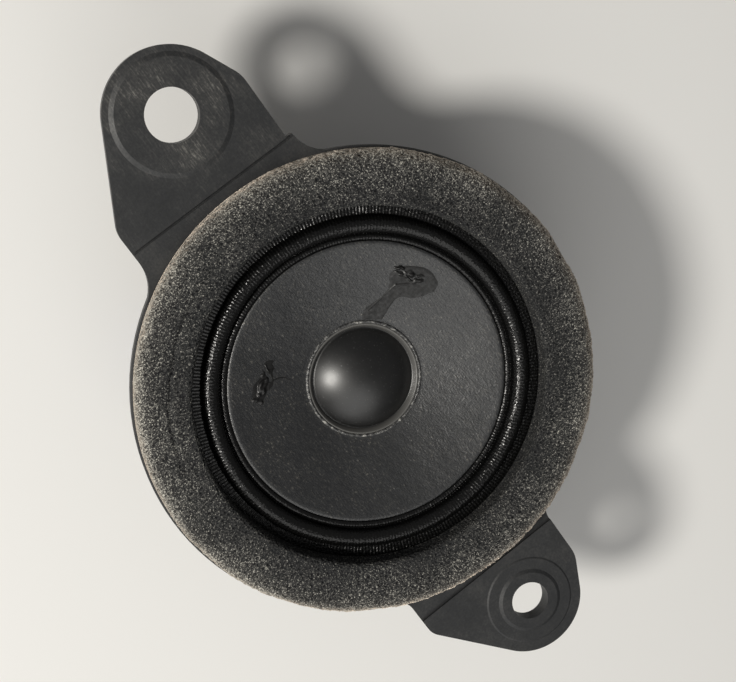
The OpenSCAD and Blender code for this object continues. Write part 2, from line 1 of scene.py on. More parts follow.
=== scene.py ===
# %% [markdown]
# # A small car tweeter, finished in Blender
# The engineering model comes in as a fixed frame. Each lesson below takes one real piece of the driver,
# says what it is and how it is made, and then builds it or gives it its finish. The camera, the floor and
# the lights are placed in metres, as the frame is. The pieces are sized in millimetres, and scaled where
# their mesh is made.

# %% Load the frame
import math
import bmesh
import bpy
import numpy as np
from mathutils import Matrix, Vector, kdtree


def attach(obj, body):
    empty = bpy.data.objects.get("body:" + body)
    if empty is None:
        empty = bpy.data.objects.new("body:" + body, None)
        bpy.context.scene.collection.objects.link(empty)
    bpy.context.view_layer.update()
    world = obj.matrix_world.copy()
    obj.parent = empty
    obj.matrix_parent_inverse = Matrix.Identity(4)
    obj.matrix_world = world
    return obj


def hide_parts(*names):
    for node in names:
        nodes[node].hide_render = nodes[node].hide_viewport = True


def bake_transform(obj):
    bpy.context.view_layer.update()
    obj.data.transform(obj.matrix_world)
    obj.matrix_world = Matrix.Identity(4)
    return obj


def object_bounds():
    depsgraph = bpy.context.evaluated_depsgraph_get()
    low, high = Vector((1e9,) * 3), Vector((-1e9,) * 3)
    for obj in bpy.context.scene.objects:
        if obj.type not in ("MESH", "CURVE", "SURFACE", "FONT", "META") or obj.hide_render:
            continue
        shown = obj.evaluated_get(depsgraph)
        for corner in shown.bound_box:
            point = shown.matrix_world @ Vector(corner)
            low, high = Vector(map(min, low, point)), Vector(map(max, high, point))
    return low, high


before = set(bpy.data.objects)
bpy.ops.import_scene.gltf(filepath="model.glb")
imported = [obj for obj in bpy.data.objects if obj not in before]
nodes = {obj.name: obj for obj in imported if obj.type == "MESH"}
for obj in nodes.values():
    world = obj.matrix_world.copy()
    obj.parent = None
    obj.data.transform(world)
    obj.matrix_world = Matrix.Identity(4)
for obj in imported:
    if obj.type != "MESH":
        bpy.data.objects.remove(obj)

MM = 0.001
cad_low, cad_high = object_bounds()
print("frame box in mm:", [round((b - a) / MM, 2) for a, b in zip(cad_low, cad_high)])

# %% [markdown]
# ## Camera
# The object lies on its back and the camera looks down on it from a little to one side. A longish lens
# keeps the rings close to true circles. The camera is aimed by three directions, because a roll is easy to
# get wrong with angles.

# %% Place the camera
CAMERA_AT = Vector((-0.0185, 0.0779, 0.2307))
SENSOR = 36.0
LENS = 70.3
TILT, SIDE, ROLL = math.radians(18.2), math.radians(-35.6), math.radians(127.8)
front = Vector((math.sin(TILT) * math.cos(SIDE), math.sin(TILT) * math.sin(SIDE), math.cos(TILT)))
up = Vector((math.cos(ROLL), math.sin(ROLL), 0))
up = (up - front * up.dot(front)).normalized()
across = up.cross(front)
to_camera = Matrix((across, up, front)).transposed()


def show(name, data):
    """Adds a new object with this mesh, lamp or camera to the scene."""
    shown = bpy.data.objects.new(name, data)
    bpy.context.scene.collection.objects.link(shown)
    return shown


camera = show("camera", bpy.data.cameras.new("camera"))
camera.data.lens = LENS
camera.data.sensor_width = SENSOR
camera.data.clip_start = 0.01
camera.rotation_mode = "QUATERNION"
camera.rotation_quaternion = to_camera.inverted().to_quaternion()
camera.location = CAMERA_AT
bpy.context.scene.camera = camera
print("camera stands", round(CAMERA_AT.length / MM), "mm from the driver")


def from_camera(x, y, z):
    """A direction given as seen by the camera, turned into the frame's own axes."""
    return to_camera.inverted() @ Vector((x, y, z))


# %% [markdown]
# ## Floor and light
# Product pictures use a plain pale floor. One fairly small soft box makes the bright spot on the dome and
# the shadow behind the ears, and a large weak one with a pale sky fills the dark sides.

# %% Material, sheet and lamp helpers
def plain_material(name, colour, rough):
    """A material whose shader's values are given directly: the start of every finish in this lesson."""
    material = bpy.data.materials.new(name)
    material.use_nodes = True
    shader = material.node_tree.nodes["Principled BSDF"]
    shader.inputs["Base Color"].default_value = (*colour, 1)
    shader.inputs["Roughness"].default_value = rough
    return material


def flat_sheet(name, side, height):
    """A square sheet, cut once each way so that it has an inner vertex."""
    mesh = bpy.data.meshes.new(name)
    half = side / 2
    row = [-half, 0, half]
    points = [(x, y, height) for y in row for x in row]
    faces = [(i, i + 1, i + 4, i + 3) for i in (0, 1, 3, 4)]
    mesh.from_pydata(points, [], faces)
    return show(name, mesh)


def soft_box(name, direction, distance, size, watts, colour):
    """An area light that looks at the driver."""
    data = bpy.data.lights.new(name, "AREA")
    data.shape = "DISK"
    data.size = size
    data.energy = watts
    data.color = colour
    lamp = show(name, data)
    lamp.location = direction.normalized() * distance
    lamp.rotation_mode = "QUATERNION"
    lamp.rotation_quaternion = direction.to_track_quat("Z", "Y")
    return lamp


# %% [markdown]
# The floor lies a hair below the driver. The lights' directions are given as seen by the camera.

# %% Build the floor and the lights
FLOOR_SIDE, FLOOR_GAP = 3.0, 0.0002
floor = flat_sheet("floor", FLOOR_SIDE, cad_low.z - FLOOR_GAP)
floor.data.materials.append(plain_material("pale floor", (0.84, 0.835, 0.82), 0.95))
WARM, PALE = (1.0, 0.97, 0.91), (1.0, 0.99, 0.96)
key = soft_box("key light", from_camera(-0.5, -0.28, 0.82), distance=0.8, size=0.17, watts=5.4, colour=WARM)
fill = soft_box("fill light", from_camera(0.13, -0.84, 0.53), distance=1.0, size=1.1, watts=3.6, colour=PALE)
world = bpy.data.worlds.new("pale sky")
world.use_nodes = True
sky = world.node_tree.nodes["Background"]
sky.inputs["Color"].default_value = (0.98, 0.97, 0.96, 1)
sky.inputs["Strength"].default_value = 0.15
bpy.context.scene.world = world
bpy.context.scene.view_settings.view_transform = "Standard"
print("lights:", key.name, "and", fill.name)

# %% [markdown]
# ## A lathe for round pieces
# Almost all of a loudspeaker is turned: one section is swept round the axis. This helper takes the section
# as (radius, height) points in millimetres, cuts it finely, and sweeps it. A closed section gives a closed
# solid, which is what a cloth ring or a paper cone really is, so its back looks right as well.

# %% Lathe helper
TINY = 1e-6


def resample(section, step, closed=True):
    """The same outline with a point at least every step, so that bumps can be pushed into it."""
    points = [np.array(p, float) for p in section]
    ends = points[1:] + points[:1] if closed else points[1:]
    fine = []
    for a, b in zip(points, ends):
        cuts = max(1, math.ceil(np.linalg.norm(b - a) / step))
        fine += [a + (b - a) * k / cuts for k in range(cuts)]
    return np.array(fine if closed else fine + [points[-1]])


def smooth_mesh(name, points, faces):
    """A smooth-shaded mesh from a table of points in millimetres and a list of faces."""
    mesh = bpy.data.meshes.new(name)
    mesh.from_pydata((points.reshape(-1, 3) * MM).tolist(), [], faces)
    mesh.shade_smooth()
    return mesh


def lathe(name, section, turns, closed=True):
    """Sweeps a section round Z. A point on the axis becomes a single vertex."""
    section = np.array(section, float)
    angles = np.arange(turns) * 2 * math.pi / turns
    r, z = section[:, 0], section[:, 1]
    around = [np.outer(r, np.cos(angles)), np.outer(r, np.sin(angles)), np.repeat(z[:, None], turns, 1)]
    rows = len(section)
    row = np.arange(rows if closed else rows - 1)[:, None]
    col = np.arange(turns)[None, :]
    after, beside = (row + 1) % rows, (col + 1) % turns
    corners = [row * turns + col, row * turns + beside, after * turns + beside, after * turns + col]
    mesh = smooth_mesh(name, np.stack(around, 2), np.stack(corners, 2).reshape(-1, 4).tolist())
    weld = bmesh.new()
    weld.from_mesh(mesh)
    axis_points = [v for v in weld.verts if math.hypot(v.co.x, v.co.y) < TINY / 10]
    bmesh.ops.remove_doubles(weld, verts=axis_points, dist=TINY)
    bmesh.ops.recalc_face_normals(weld, faces=weld.faces)
    weld.to_mesh(mesh)
    weld.free()
    return show(name, mesh)


# %% [markdown]
# Pits, ribs and waves are pushed into a turned piece afterwards. Its points are read out as one table, moved
# by a formula for all of them at once, and put back. A number can be stored for each vertex as well, for a
# finish to read.

# %% Points as a table
def points_of(piece):
    """All vertices of a piece as a table of x, y, z in millimetres."""
    flat = np.empty(len(piece.data.vertices) * 3)
    piece.data.vertices.foreach_get("co", flat)
    return flat.reshape(-1, 3) / MM


def move_points(piece, table):
    """Puts the table of millimetre points back into the piece."""
    piece.data.vertices.foreach_set("co", (table * MM).ravel())
    piece.data.update()


def normals_of(piece):
    """The direction in which the surface faces at each vertex."""
    flat = np.empty(len(piece.data.vertices) * 3)
    piece.data.vertices.foreach_get("normal", flat)
    return flat.reshape(-1, 3)


def paint(piece, name, values):
    """Stores one number for each vertex, which a material can read by its name."""
    layer = piece.data.attributes.new(name, "FLOAT", "POINT")
    layer.data.foreach_set("value", np.asarray(values, np.float32))


# %% [markdown]
# ## Noise without pictures
# Surfaces are never perfect. Smooth random waves from a fixed seed give slow changes, and they are the same
# on every run.

# %% Wavy noise
def waves(points, size, seed, count=24):
    """Smooth random values from about -1 to 1; size is the rough width of a hump in millimetres."""
    rng = np.random.default_rng(seed)
    directions = rng.normal(size=(count, 3))
    directions /= np.linalg.norm(directions, axis=1)[:, None]
    lengths = size * rng.uniform(0.7, 1.6, count)
    phases = rng.uniform(0, 2 * math.pi, count)
    total = np.sin(points @ (directions * (math.pi / lengths[:, None])).T + phases).sum(1)
    usual_peak = 1.6
    return total / math.sqrt(count / 2) / usual_peak


# %% [markdown]
# ## Finishes from nodes
# A finish is one shader with a few procedural nodes before it, so it needs no picture and fits any shape.
# The first helpers make the material, its noise and its colours.

# %% Node helpers
def finish_of(name, colour, rough, **sockets):
    """A new finish: the material, its node tree and its shader, with any other sockets set by name."""
    material = plain_material(name, colour, rough)
    tree = material.node_tree
    shader = tree.nodes["Principled BSDF"]
    for key_name, value in sockets.items():
        shader.inputs[key_name.replace("_", " ")].default_value = value
    return material, tree, shader


def add(tree, kind, **settings):
    """Adds a node and sets its properties and its inputs."""
    node = tree.nodes.new("ShaderNode" + kind)
    for key_name, value in settings.items():
        if key_name in node.inputs:
            node.inputs[key_name].default_value = value
        else:
            setattr(node, key_name, value)
    return node


def where(tree, stretch=(1, 1, 1)):
    """Object coordinates in millimetres, so that texture scales read as cycles per millimetre."""
    place = add(tree, "TexCoord")
    scale = add(tree, "Mapping")
    scale.inputs["Scale"].default_value = [s / MM for s in stretch]
    tree.links.new(place.outputs["Object"], scale.inputs["Vector"])
    return scale.outputs["Vector"]


def grain(tree, vector, per_mm, detail=2.0, rough=0.5):
    """A noise texture; its output runs from 0 to 1."""
    noise = add(tree, "TexNoise", Scale=per_mm, Detail=detail, Roughness=rough)
    tree.links.new(vector, noise.inputs["Vector"])
    return noise.outputs["Fac"]


def ramp(tree, value, stops):
    """Turns a value into a colour; stops are (place, (r, g, b))."""
    node = add(tree, "ValToRGB")
    bar = node.color_ramp.elements
    while len(bar) < len(stops):
        bar.new(0.5)
    for element, (place, colour) in zip(bar, stops):
        element.position = place
        element.color = (*colour, 1)
    tree.links.new(value, node.inputs["Fac"])
    return node.outputs["Color"]


def grey(level):
    """The same number for red, green and blue."""
    return (level, level, level)


# %% [markdown]
# Values are worked on before they drive anything. Ranges are stretched, values are multiplied and added,
# painted numbers are read, and two colours are mixed.

# %% Arithmetic between nodes
def remap(tree, value, low, high, to_low, to_high):
    """Stretches the range from low to high onto another range, and holds it at the ends."""
    node = add(tree, "MapRange")
    for key_name, number in zip(("From Min", "From Max", "To Min", "To Max"), (low, high, to_low, to_high)):
        node.inputs[key_name].default_value = number
    tree.links.new(value, node.inputs["Value"])
    return node.outputs["Result"]


def maths(tree, operation, a, b):
    """One step of arithmetic between two sockets, or a socket and a number."""
    node = add(tree, "Math", operation=operation)
    for socket, value in zip(node.inputs, (a, b)):
        if isinstance(value, (int, float)):
            socket.default_value = value
        else:
            tree.links.new(value, socket)
    return node.outputs["Value"]


def times(tree, a, b):
    """Two values multiplied."""
    return maths(tree, "MULTIPLY", a, b)


def weighted(tree, a, share_a, b, share_b):
    """Two values added, each with its own share."""
    return maths(tree, "ADD", times(tree, a, share_a), times(tree, b, share_b))


def painted(tree, name):
    """The number that was stored for each vertex under this name."""
    return add(tree, "Attribute", attribute_name=name).outputs["Fac"]


def two_tone(tree, factor, colour, other):
    """The changing colour where the factor is 0, and one fixed other colour where it is 1."""
    mixed = add(tree, "Mix", data_type="RGBA")
    tree.links.new(factor, mixed.inputs["Factor"])
    tree.links.new(colour, mixed.inputs[6])
    mixed.inputs[7].default_value = (*other, 1)
    return mixed.outputs[2]


# %% [markdown]
# Last, a finish is wired up. Colours and values go to the shader's sockets, a height becomes bump, and the
# piece gets the material as its only one.

# %% Wiring and wearing
def feed(tree, shader, **sockets):
    """Links a value or colour into each named socket of the shader."""
    for key_name, output in sockets.items():
        tree.links.new(output, shader.inputs[key_name.replace("_", " ")])


def bump(tree, shader, height, depth_mm, strength=1.0):
    """Roughens the surface by a height value; depth is in millimetres."""
    node = add(tree, "Bump", Strength=strength, Distance=depth_mm * MM)
    tree.links.new(height, node.inputs["Height"])
    feed(tree, shader, Normal=node.outputs["Normal"])


def wear(material, *pieces):
    """Gives each piece its one finish."""
    for piece in pieces:
        piece.data.materials.clear()
        piece.data.materials.append(material)
    print(material.name, "on", [piece.name for piece in pieces])


# %% [markdown]
# ## Foam gasket
# The gasket is a ring punched from a sheet of open-cell foam. Its face is not smooth: the knife and the
# foaming leave a net of thin struts round small pits. Random cell centres are strewn through the ring.
# Every vertex finds its two nearest centres: where both are equally far it sits on a strut and stays, and
# where one is much nearer it sinks into a pit.

# %% Foam cells
FOAM_IN, FOAM_OUT = 30.3, 39.6
FOAM_LOW, FOAM_HIGH = 2.02, 6.0
ROUND_IN, ROUND_OUT = 1.0, 2.4
CELL = 0.52
CELL_MARGIN = 1.5


def foam_section():
    """Outline of the ring: flat on its glued side, rounded in front."""
    corner = [(math.cos(a), math.sin(a)) for a in np.linspace(0, math.pi / 2, 7)]
    inner = [(FOAM_IN + ROUND_IN * (1 - c), FOAM_HIGH - ROUND_IN * (1 - s)) for c, s in corner]
    outer = [(FOAM_OUT - ROUND_OUT * (1 - c), FOAM_HIGH - ROUND_OUT * (1 - s)) for c, s in corner]
    return [(FOAM_IN, FOAM_LOW), *inner, *outer[::-1], (FOAM_OUT, FOAM_LOW)]


def strut_or_pit(table, cell, seed):
    """0 on a strut and up to 1 in the middle of a pit."""
    rng = np.random.default_rng(seed)
    low, high = table.min(0) - cell, table.max(0) + cell
    counts = np.maximum(1, ((high - low) / cell).astype(int))
    grid = np.stack(np.meshgrid(*[np.arange(c) for c in counts], indexing="ij"), -1).reshape(-1, 3)
    centres = low + (grid + rng.uniform(0, 1, grid.shape)) * cell
    radius = np.hypot(centres[:, 0], centres[:, 1])
    centres = centres[(radius > FOAM_IN - CELL_MARGIN) & (radius < FOAM_OUT + CELL_MARGIN)]
    tree = kdtree.KDTree(len(centres))
    for i, centre in enumerate(centres):
        tree.insert(centre, i)
    tree.balance()
    near = np.array([[hit[2] for hit in tree.find_n(p, 2)] for p in table])
    return np.clip((near[:, 1] - near[:, 0]) / (0.75 * cell), 0, 1)


foam = lathe("foam_gasket_open_cell", resample(foam_section(), step=0.23), turns=1080)
table = points_of(foam)
outward = normals_of(foam)
pit = strut_or_pit(table, CELL, seed=11)

# %% [markdown]
# Now the pits are sunk. They are deeper along the outer edge, where the knife tore the foam, and they fade
# out towards the glued side. Slow humps make the face uneven. A shallow crease runs along one part of the
# ring, where it was pressed.

# %% Foam surface
PIT_DEEP, TORN_DEEP = 0.34, 0.22
TORN_FROM, TORN_OVER = 38.2, 1.2
FADE_FROM, FADE_OVER = 2.0, 0.6
HUMP_H, HUMP_W = 0.12, 5.0
RAG_H, RAG_W = 0.07, 0.8
CREASE_R, CREASE_W, CREASE_DEEP, CREASE_SWAY = 33.8, 0.3, 0.35, 0.3
CREASE_MIDDLE, CREASE_HALF, CREASE_END = 133, 38, 14
PAST_OUT, PAST_HIGH = 0.25, 0.05
seat = np.clip((table[:, 2] - FADE_FROM) / FADE_OVER, 0, 1)
rim = np.clip((np.hypot(table[:, 0], table[:, 1]) - TORN_FROM) / TORN_OVER, 0, 1)
table -= outward * ((PIT_DEEP + TORN_DEEP * rim) * pit * seat)[:, None]
humps = HUMP_H * waves(table, HUMP_W, seed=12) + RAG_H * rim * waves(table, RAG_W, seed=13, count=60)
table += outward * (humps * seat)[:, None]
radius = np.hypot(table[:, 0], table[:, 1])
angle = np.degrees(np.arctan2(table[:, 1], table[:, 0]))
in_sector = np.clip((CREASE_HALF - np.abs(angle - CREASE_MIDDLE)) / CREASE_END, 0, 1)
off_crease = (radius - CREASE_R - CREASE_SWAY * waves(table, 9.0, seed=14)) / CREASE_W
crease = np.exp(-off_crease ** 2) * in_sector * (table[:, 2] > FOAM_HIGH - 1)
table[:, 2] -= CREASE_DEEP * crease
limit = np.clip(FOAM_OUT + PAST_OUT - radius, None, 0)
table[:, :2] += table[:, :2] / radius[:, None] * limit[:, None]
table[:, 2] = np.clip(table[:, 2], FOAM_LOW, FOAM_HIGH + PAST_HIGH)
move_points(foam, table)
paint(foam, "pit", pit)
paint(foam, "reach", np.clip((radius - FOAM_IN) / (FOAM_OUT - FOAM_IN), 0, 1))
print("foam vertices:", len(foam.data.vertices))

# %% [markdown]
# The foam's finish reads the stored pit number: struts are painted lighter as painted light, and pits are
# painted nearly black as painted shade. A much finer noise adds painted glints of single struts. Foam
# scatters light, so it is rough and has almost no gloss. The stored reach, 0 at the inner edge and 1 at the
# outer one, paints shade towards the inner edge and paints light on the rounded outer edge, which goes pale
# and gets a sheen.

# %% Foam finish
foam_finish, tree, shader = finish_of(
    "open-cell foam", grey(0.05), 0.9,
    Specular_IOR_Level=0.2, Sheen_Roughness=0.45, Sheen_Tint=(0.98, 0.84, 0.7, 1))
at = where(tree)
reach = painted(tree, "reach")
painted_glint = remap(tree, grain(tree, at, 4.6, detail=2.0, rough=0.7), 0.5, 0.74, 0.0, 1.0)
strut = maths(tree, "SUBTRACT", 1.0, painted(tree, "pit"))
patchy = remap(tree, grain(tree, at, 0.12, detail=2.0), 0.3, 0.7, 0.9, 1.1)
# Painted light and shade: struts are lighter, pits are darker, and painted glints are added.
shade = times(tree, weighted(tree, strut, 0.55, painted_glint, 0.75), patchy)
# Painted shade towards the inner edge, and painted light on the rounded outer edge.
shade = times(tree, shade, remap(tree, reach, 0.0, 0.9, 0.76, 1.08))
shade = times(tree, shade, remap(tree, reach, 0.84, 1.0, 1.0, 1.4))
tint = ramp(tree, shade, [
    (0.0, (0.0044, 0.005, 0.0062)), (0.35, (0.019, 0.0197, 0.0206)), (0.66, (0.078, 0.077, 0.073)),
    (1.0, (0.55, 0.53, 0.47))])
feed(tree, shader, Base_Color=tint, Sheen_Weight=remap(tree, reach, 0.6, 0.95, 0.0, 1.0))
bump(tree, shader, grain(tree, at, 4.0, detail=2.0), 0.12, 0.6)
wear(foam_finish, foam)
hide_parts("foam_gasket")
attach(foam, "frame")

# %% [markdown]
# ## Surround
# The surround is the cloth hinge between cone and basket: a small bead, a tall half roll, and a flat rim
# glued into the basket. Its section is drawn from straight lands and arcs, first along the cloth's outer
# face and then back along its inner one.

# %% Surround section
RIM_OUT, RIM_Z = 33.1, 1.25
CLOTH = 0.35
BEAD_R, BEAD_AT = 0.6, 24.83
ROLL_R, ROLL_AT, ROLL_H = 1.45, 27.05, 2.05
CONE_R, CONE_Z = 24.2, 1.63
PAPER = 0.5
GLUE_FILM = 0.03
LAND_Z = CONE_Z - PAPER - GLUE_FILM - CLOTH


def arc(centre_r, centre_z, radius, start, stop, count):
    """Points of an arc in the section, from one angle to another in degrees."""
    turn = np.radians(np.linspace(start, stop, count))
    return [(centre_r + radius * math.cos(a), centre_z + radius * math.sin(a)) for a in turn]


leg = ROLL_H - ROLL_R
outside = [
    (CONE_R - 1, LAND_Z), (CONE_R - 1, LAND_Z + CLOTH), (BEAD_AT - BEAD_R, LAND_Z + CLOTH),
    *arc(BEAD_AT, RIM_Z, BEAD_R, 180, 0, 9), (BEAD_AT + BEAD_R + 0.05, RIM_Z + CLOTH * 0.7),
    (ROLL_AT - ROLL_R, RIM_Z + CLOTH), *arc(ROLL_AT, RIM_Z + leg, ROLL_R, 180, 0, 15),
    (ROLL_AT + ROLL_R, RIM_Z + CLOTH), (RIM_OUT, RIM_Z + CLOTH)]
inside = [
    (RIM_OUT, RIM_Z), (ROLL_AT + ROLL_R - CLOTH, RIM_Z),
    *arc(ROLL_AT, RIM_Z + leg, ROLL_R - CLOTH, 0, 180, 13),
    (ROLL_AT - ROLL_R + CLOTH, RIM_Z), (BEAD_AT + BEAD_R - CLOTH, RIM_Z),
    *arc(BEAD_AT, RIM_Z, BEAD_R - CLOTH, 0, 180, 7), (BEAD_AT - BEAD_R + CLOTH, LAND_Z)]
print("surround section points:", len(outside) + len(inside))

# %% [markdown]
# The cloth is woven, so its threads show as fine ribs, mostly on the roll's outer flank. The ribs are
# modelled, because they catch the light as rows of dots: a cosine round the axis pushes the turned ring in
# and out, fully on that flank and weakly elsewhere.

# %% Surround ribs
RIBS, RIB_H = 320, 0.045
FLANK_FROM, FLANK_OVER = 27.6, 0.7
surround = lathe("surround_woven_roll", resample(outside + inside, step=0.4), turns=RIBS * 6)
table = points_of(surround)
outward = normals_of(surround)
radius = np.hypot(table[:, 0], table[:, 1])
turn = np.arctan2(table[:, 1], table[:, 0])
ribbed = (0.3 + 0.7 * np.clip((radius - FLANK_FROM) / FLANK_OVER, 0, 1)) * (table[:, 2] > RIM_Z - 0.2)
rib = np.cos(turn * RIBS)
table += outward * (RIB_H * rib * ribbed)[:, None]
move_points(surround, table)
paint(surround, "rib", rib * ribbed)
print("surround ribs:", RIBS, "vertices:", len(surround.data.vertices))

# %% [markdown]
# The cloth stretches when the cone moves: a surround works by radius, with none of the travel at the rim and
# all of it at the cone. Here the surround's placement is only baked into its mesh.

# %% Surround placement
def share_travel(piece):
    """Bakes the piece's placement into its mesh."""
    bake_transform(piece)


radius = np.hypot(table[:, 0], table[:, 1])
share_travel(surround)
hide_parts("surround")

# %% [markdown]
# The cloth is doped: a black sticky resin closes its pores. That leaves it nearly black with a wet gloss
# that changes from thread to thread, so the weave drives roughness and bump more than it drives colour.

# %% Surround finish
cloth_finish, tree, shader = finish_of("doped woven cloth", grey(0.006), 0.28, Specular_IOR_Level=0.45)
weave = grain(tree, where(tree), 2.4, detail=1.0)
# The stored rib paints the crests a little lighter: a painted highlight along each thread.
mix = maths(tree, "ADD", times(tree, painted(tree, "rib"), 0.2), weave)
tint = ramp(tree, mix, [(0.3, grey(0.0015)), (0.7, grey(0.004)), (1.0, (0.022, 0.0215, 0.02))])
feed(tree, shader, Base_Color=tint, Roughness=remap(tree, weave, 0.35, 0.65, 0.36, 0.18))
bump(tree, shader, weave, 0.14, 0.8)
wear(cloth_finish, surround)

# %% [markdown]
# ## Paper cone
# The cone is pressed from dyed paper pulp. From far away it has a dull, even sheen, and up close it shows
# short fibres and small lighter flecks. The shape is a thin closed shell. Its face is slightly wavy, but
# for its glued edges.

# %% Cone shape
NECK_R, NECK_Z, NECK_L = 10.2, -1.87, 2.2
FORMER_R = 9.7
EDGE_LAND, EDGE_SOFT = 0.5, 0.08
WARP_H, WARP_W, PULP_H, PULP_W = 0.035, 4.0, 0.012, 0.9
cone_outline = [
    (NECK_R, NECK_Z), (CONE_R - EDGE_LAND, CONE_Z), (CONE_R - EDGE_SOFT, CONE_Z),
    (CONE_R, CONE_Z - EDGE_SOFT), (CONE_R, CONE_Z - PAPER), (CONE_R - 1, CONE_Z - PAPER),
    (NECK_R + PAPER, NECK_Z - 0.35), (NECK_R, NECK_Z - 0.8), (NECK_R, NECK_Z - NECK_L),
    (FORMER_R, NECK_Z - NECK_L), (FORMER_R, NECK_Z)]
cone = lathe("paper_cone", resample(cone_outline, step=0.5), turns=480)
table = points_of(cone)
radius = np.hypot(table[:, 0], table[:, 1])
free = np.clip((radius - NECK_R - 0.5) / 2, 0, 1) * np.clip((CONE_R - 0.7 - radius) / 1.5, 0, 1)
table[:, 2] += WARP_H * waves(table, WARP_W, seed=21) * free + PULP_H * waves(table, PULP_W, seed=22) * free
move_points(cone, table)
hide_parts("cone")
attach(cone, "diaphragm")
print("cone vertices:", len(cone.data.vertices))

# %% [markdown]
# Pulp fibres lie in all directions in the sheet. Two noises that are stretched along different axes stand
# for them, a third one gives the flecks, and a slow one makes the dye cloudy. The gloss is high and soft,
# as on calendered paper.

# %% Cone finish
paper_finish, tree, shader = finish_of("dyed paper pulp", grey(0.03), 0.4, Specular_IOR_Level=1.0)
at = where(tree)
fibre = grain(tree, where(tree, (1, 0.3, 1)), 3.4, detail=3.0, rough=0.65)
cross_fibre = grain(tree, where(tree, (0.4, 1, 1)), 3.0, detail=2.0)
fleck = grain(tree, at, 3.0, detail=2.0, rough=0.7)
cloudy = maths(tree, "SUBTRACT", grain(tree, at, 0.12, detail=3.0), 0.5)
mix = maths(tree, "ADD", weighted(tree, fibre, 0.5, fleck, 0.5), times(tree, cloudy, 0.18))
tint = ramp(tree, mix, [
    (0.34, (0.0034, 0.004, 0.0052)), (0.5, (0.0098, 0.0108, 0.0124)), (0.6, (0.027, 0.0265, 0.025)),
    (0.72, (0.2, 0.19, 0.17))])
feed(tree, shader, Base_Color=tint, Roughness=remap(tree, fleck, 0.35, 0.7, 0.47, 0.36))
bump(tree, shader, maths(tree, "ADD", mix, times(tree, cross_fibre, 0.6)), 0.14, 0.7)
wear(paper_finish, cone)

# %% [markdown]
# ## Dust cap
# The cap keeps dirt out of the coil's gap. It is a shallow dome of plastic film in a turned-up lip, with a
# satin gloss: the light shows as one round soft spot.

# %% Dust cap shape
CAP_R, CAP_H, CAP_Z, CAP_T = 8.8, 3.6, -2.87, 0.3
DOME_R = (CAP_R ** 2 + CAP_H ** 2) / (2 * CAP_H)
dome_edge = math.degrees(math.asin(CAP_R / DOME_R))
dome = arc(0, CAP_Z + CAP_H - DOME_R, DOME_R, 90, 90 - dome_edge, 24)
under = arc(0, CAP_Z + CAP_H - DOME_R, DOME_R - CAP_T, 90 - dome_edge, 90, 24)
lip_top = [
    (CAP_R + 0.05, CAP_Z + 0.02), (CAP_R + 0.16, CAP_Z + 0.06), (FORMER_R - 0.34, NECK_Z - 0.05),
    (FORMER_R - 0.25, NECK_Z), (FORMER_R - 0.03, NECK_Z), (FORMER_R, NECK_Z - 0.06)]
lip_low = [(FORMER_R, NECK_Z - CAP_T), (CAP_R + CAP_T, CAP_Z - CAP_T), (CAP_R - 0.2, CAP_Z - CAP_T)]
cap = lathe("dust_cap_dome", np.array([*dome, *lip_top, *lip_low, *under]), turns=256, closed=False)
table = points_of(cap)
LIP_FROM, LIP_OVER = CAP_R + 0.12, 0.1
paint(cap, "lip", np.clip((np.hypot(table[:, 0], table[:, 1]) - LIP_FROM) / LIP_OVER, 0, 1))
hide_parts("dust_cap")
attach(cap, "diaphragm")
print("dome radius:", round(DOME_R, 2), "mm")

# %% [markdown]
# The film is black and smooth, with a few specks of dust. Finger smears change its gloss slowly. The lip
# is painted lighter than the dome, as a painted highlight along its rim.

# %% Dust cap finish
cap_finish, tree, shader = finish_of("satin black film", grey(0.005), 0.36, Specular_IOR_Level=0.9)
at = where(tree)
smear = grain(tree, at, 0.35, detail=3.0)
dust = grain(tree, at, 4.0, detail=1.0)
film = ramp(tree, dust, [(0.0, grey(0.0022)), (0.68, grey(0.003)), (0.8, grey(0.08))])
# The lip is painted lighter: a painted highlight along the rim.
tint = two_tone(tree, painted(tree, "lip"), film, (0.09, 0.088, 0.083))
feed(tree, shader, Base_Color=tint, Roughness=remap(tree, smear, 0.3, 0.7, 0.37, 0.43))
bump(tree, shader, dust, 0.01, 0.3)
wear(cap_finish, cap)

# %% [markdown]
# ## Basket
# The basket, with its two ears, is one piece of moulded black plastic, and its exact shape comes with the
# frame. What is left is its wear. Handling has scuffed it all over, and the large ear has fine scratches
# along its length. Noise that is squeezed across the ear and stretched along it gives them, and the height
# along Y keeps them on that ear.

# %% Basket finish
basket_finish, tree, shader = finish_of("moulded basket plastic", grey(0.04), 0.55, Specular_IOR_Level=0.5)
EAR_FROM, EAR_FULL = 36.0, 44.0
at = where(tree)
split = add(tree, "SeparateXYZ")
tree.links.new(at, split.inputs["Vector"])
on_large_ear = remap(tree, split.outputs["Y"], EAR_FROM, EAR_FULL, 0.12, 1.0)
hair = grain(tree, where(tree, (2.4, 0.3, 1.0)), 1.5, detail=5.0, rough=0.78)
scuff = grain(tree, at, 0.1, detail=6.0, rough=0.65)
fine = grain(tree, at, 2.6, detail=2.0, rough=0.6)
scratch = times(tree, remap(tree, hair, 0.47, 0.74, 0.0, 1.0), on_large_ear)
scratch = times(tree, scratch, remap(tree, scuff, 0.38, 0.62, 0.15, 1.0))
mix = maths(tree, "ADD", weighted(tree, fine, 0.35, scuff, 0.65), times(tree, scratch, 0.38))
tint = ramp(tree, mix, [
    (0.34, (0.0095, 0.0105, 0.012)), (0.5, (0.0205, 0.0213, 0.0225)), (0.68, (0.046, 0.0455, 0.044)),
    (0.95, (0.22, 0.214, 0.195))])
feed(tree, shader, Base_Color=tint, Roughness=remap(tree, mix, 0.4, 0.8, 0.58, 0.42))
bump(tree, shader, mix, 0.08, 0.5)
wear(basket_finish, nodes["basket"])

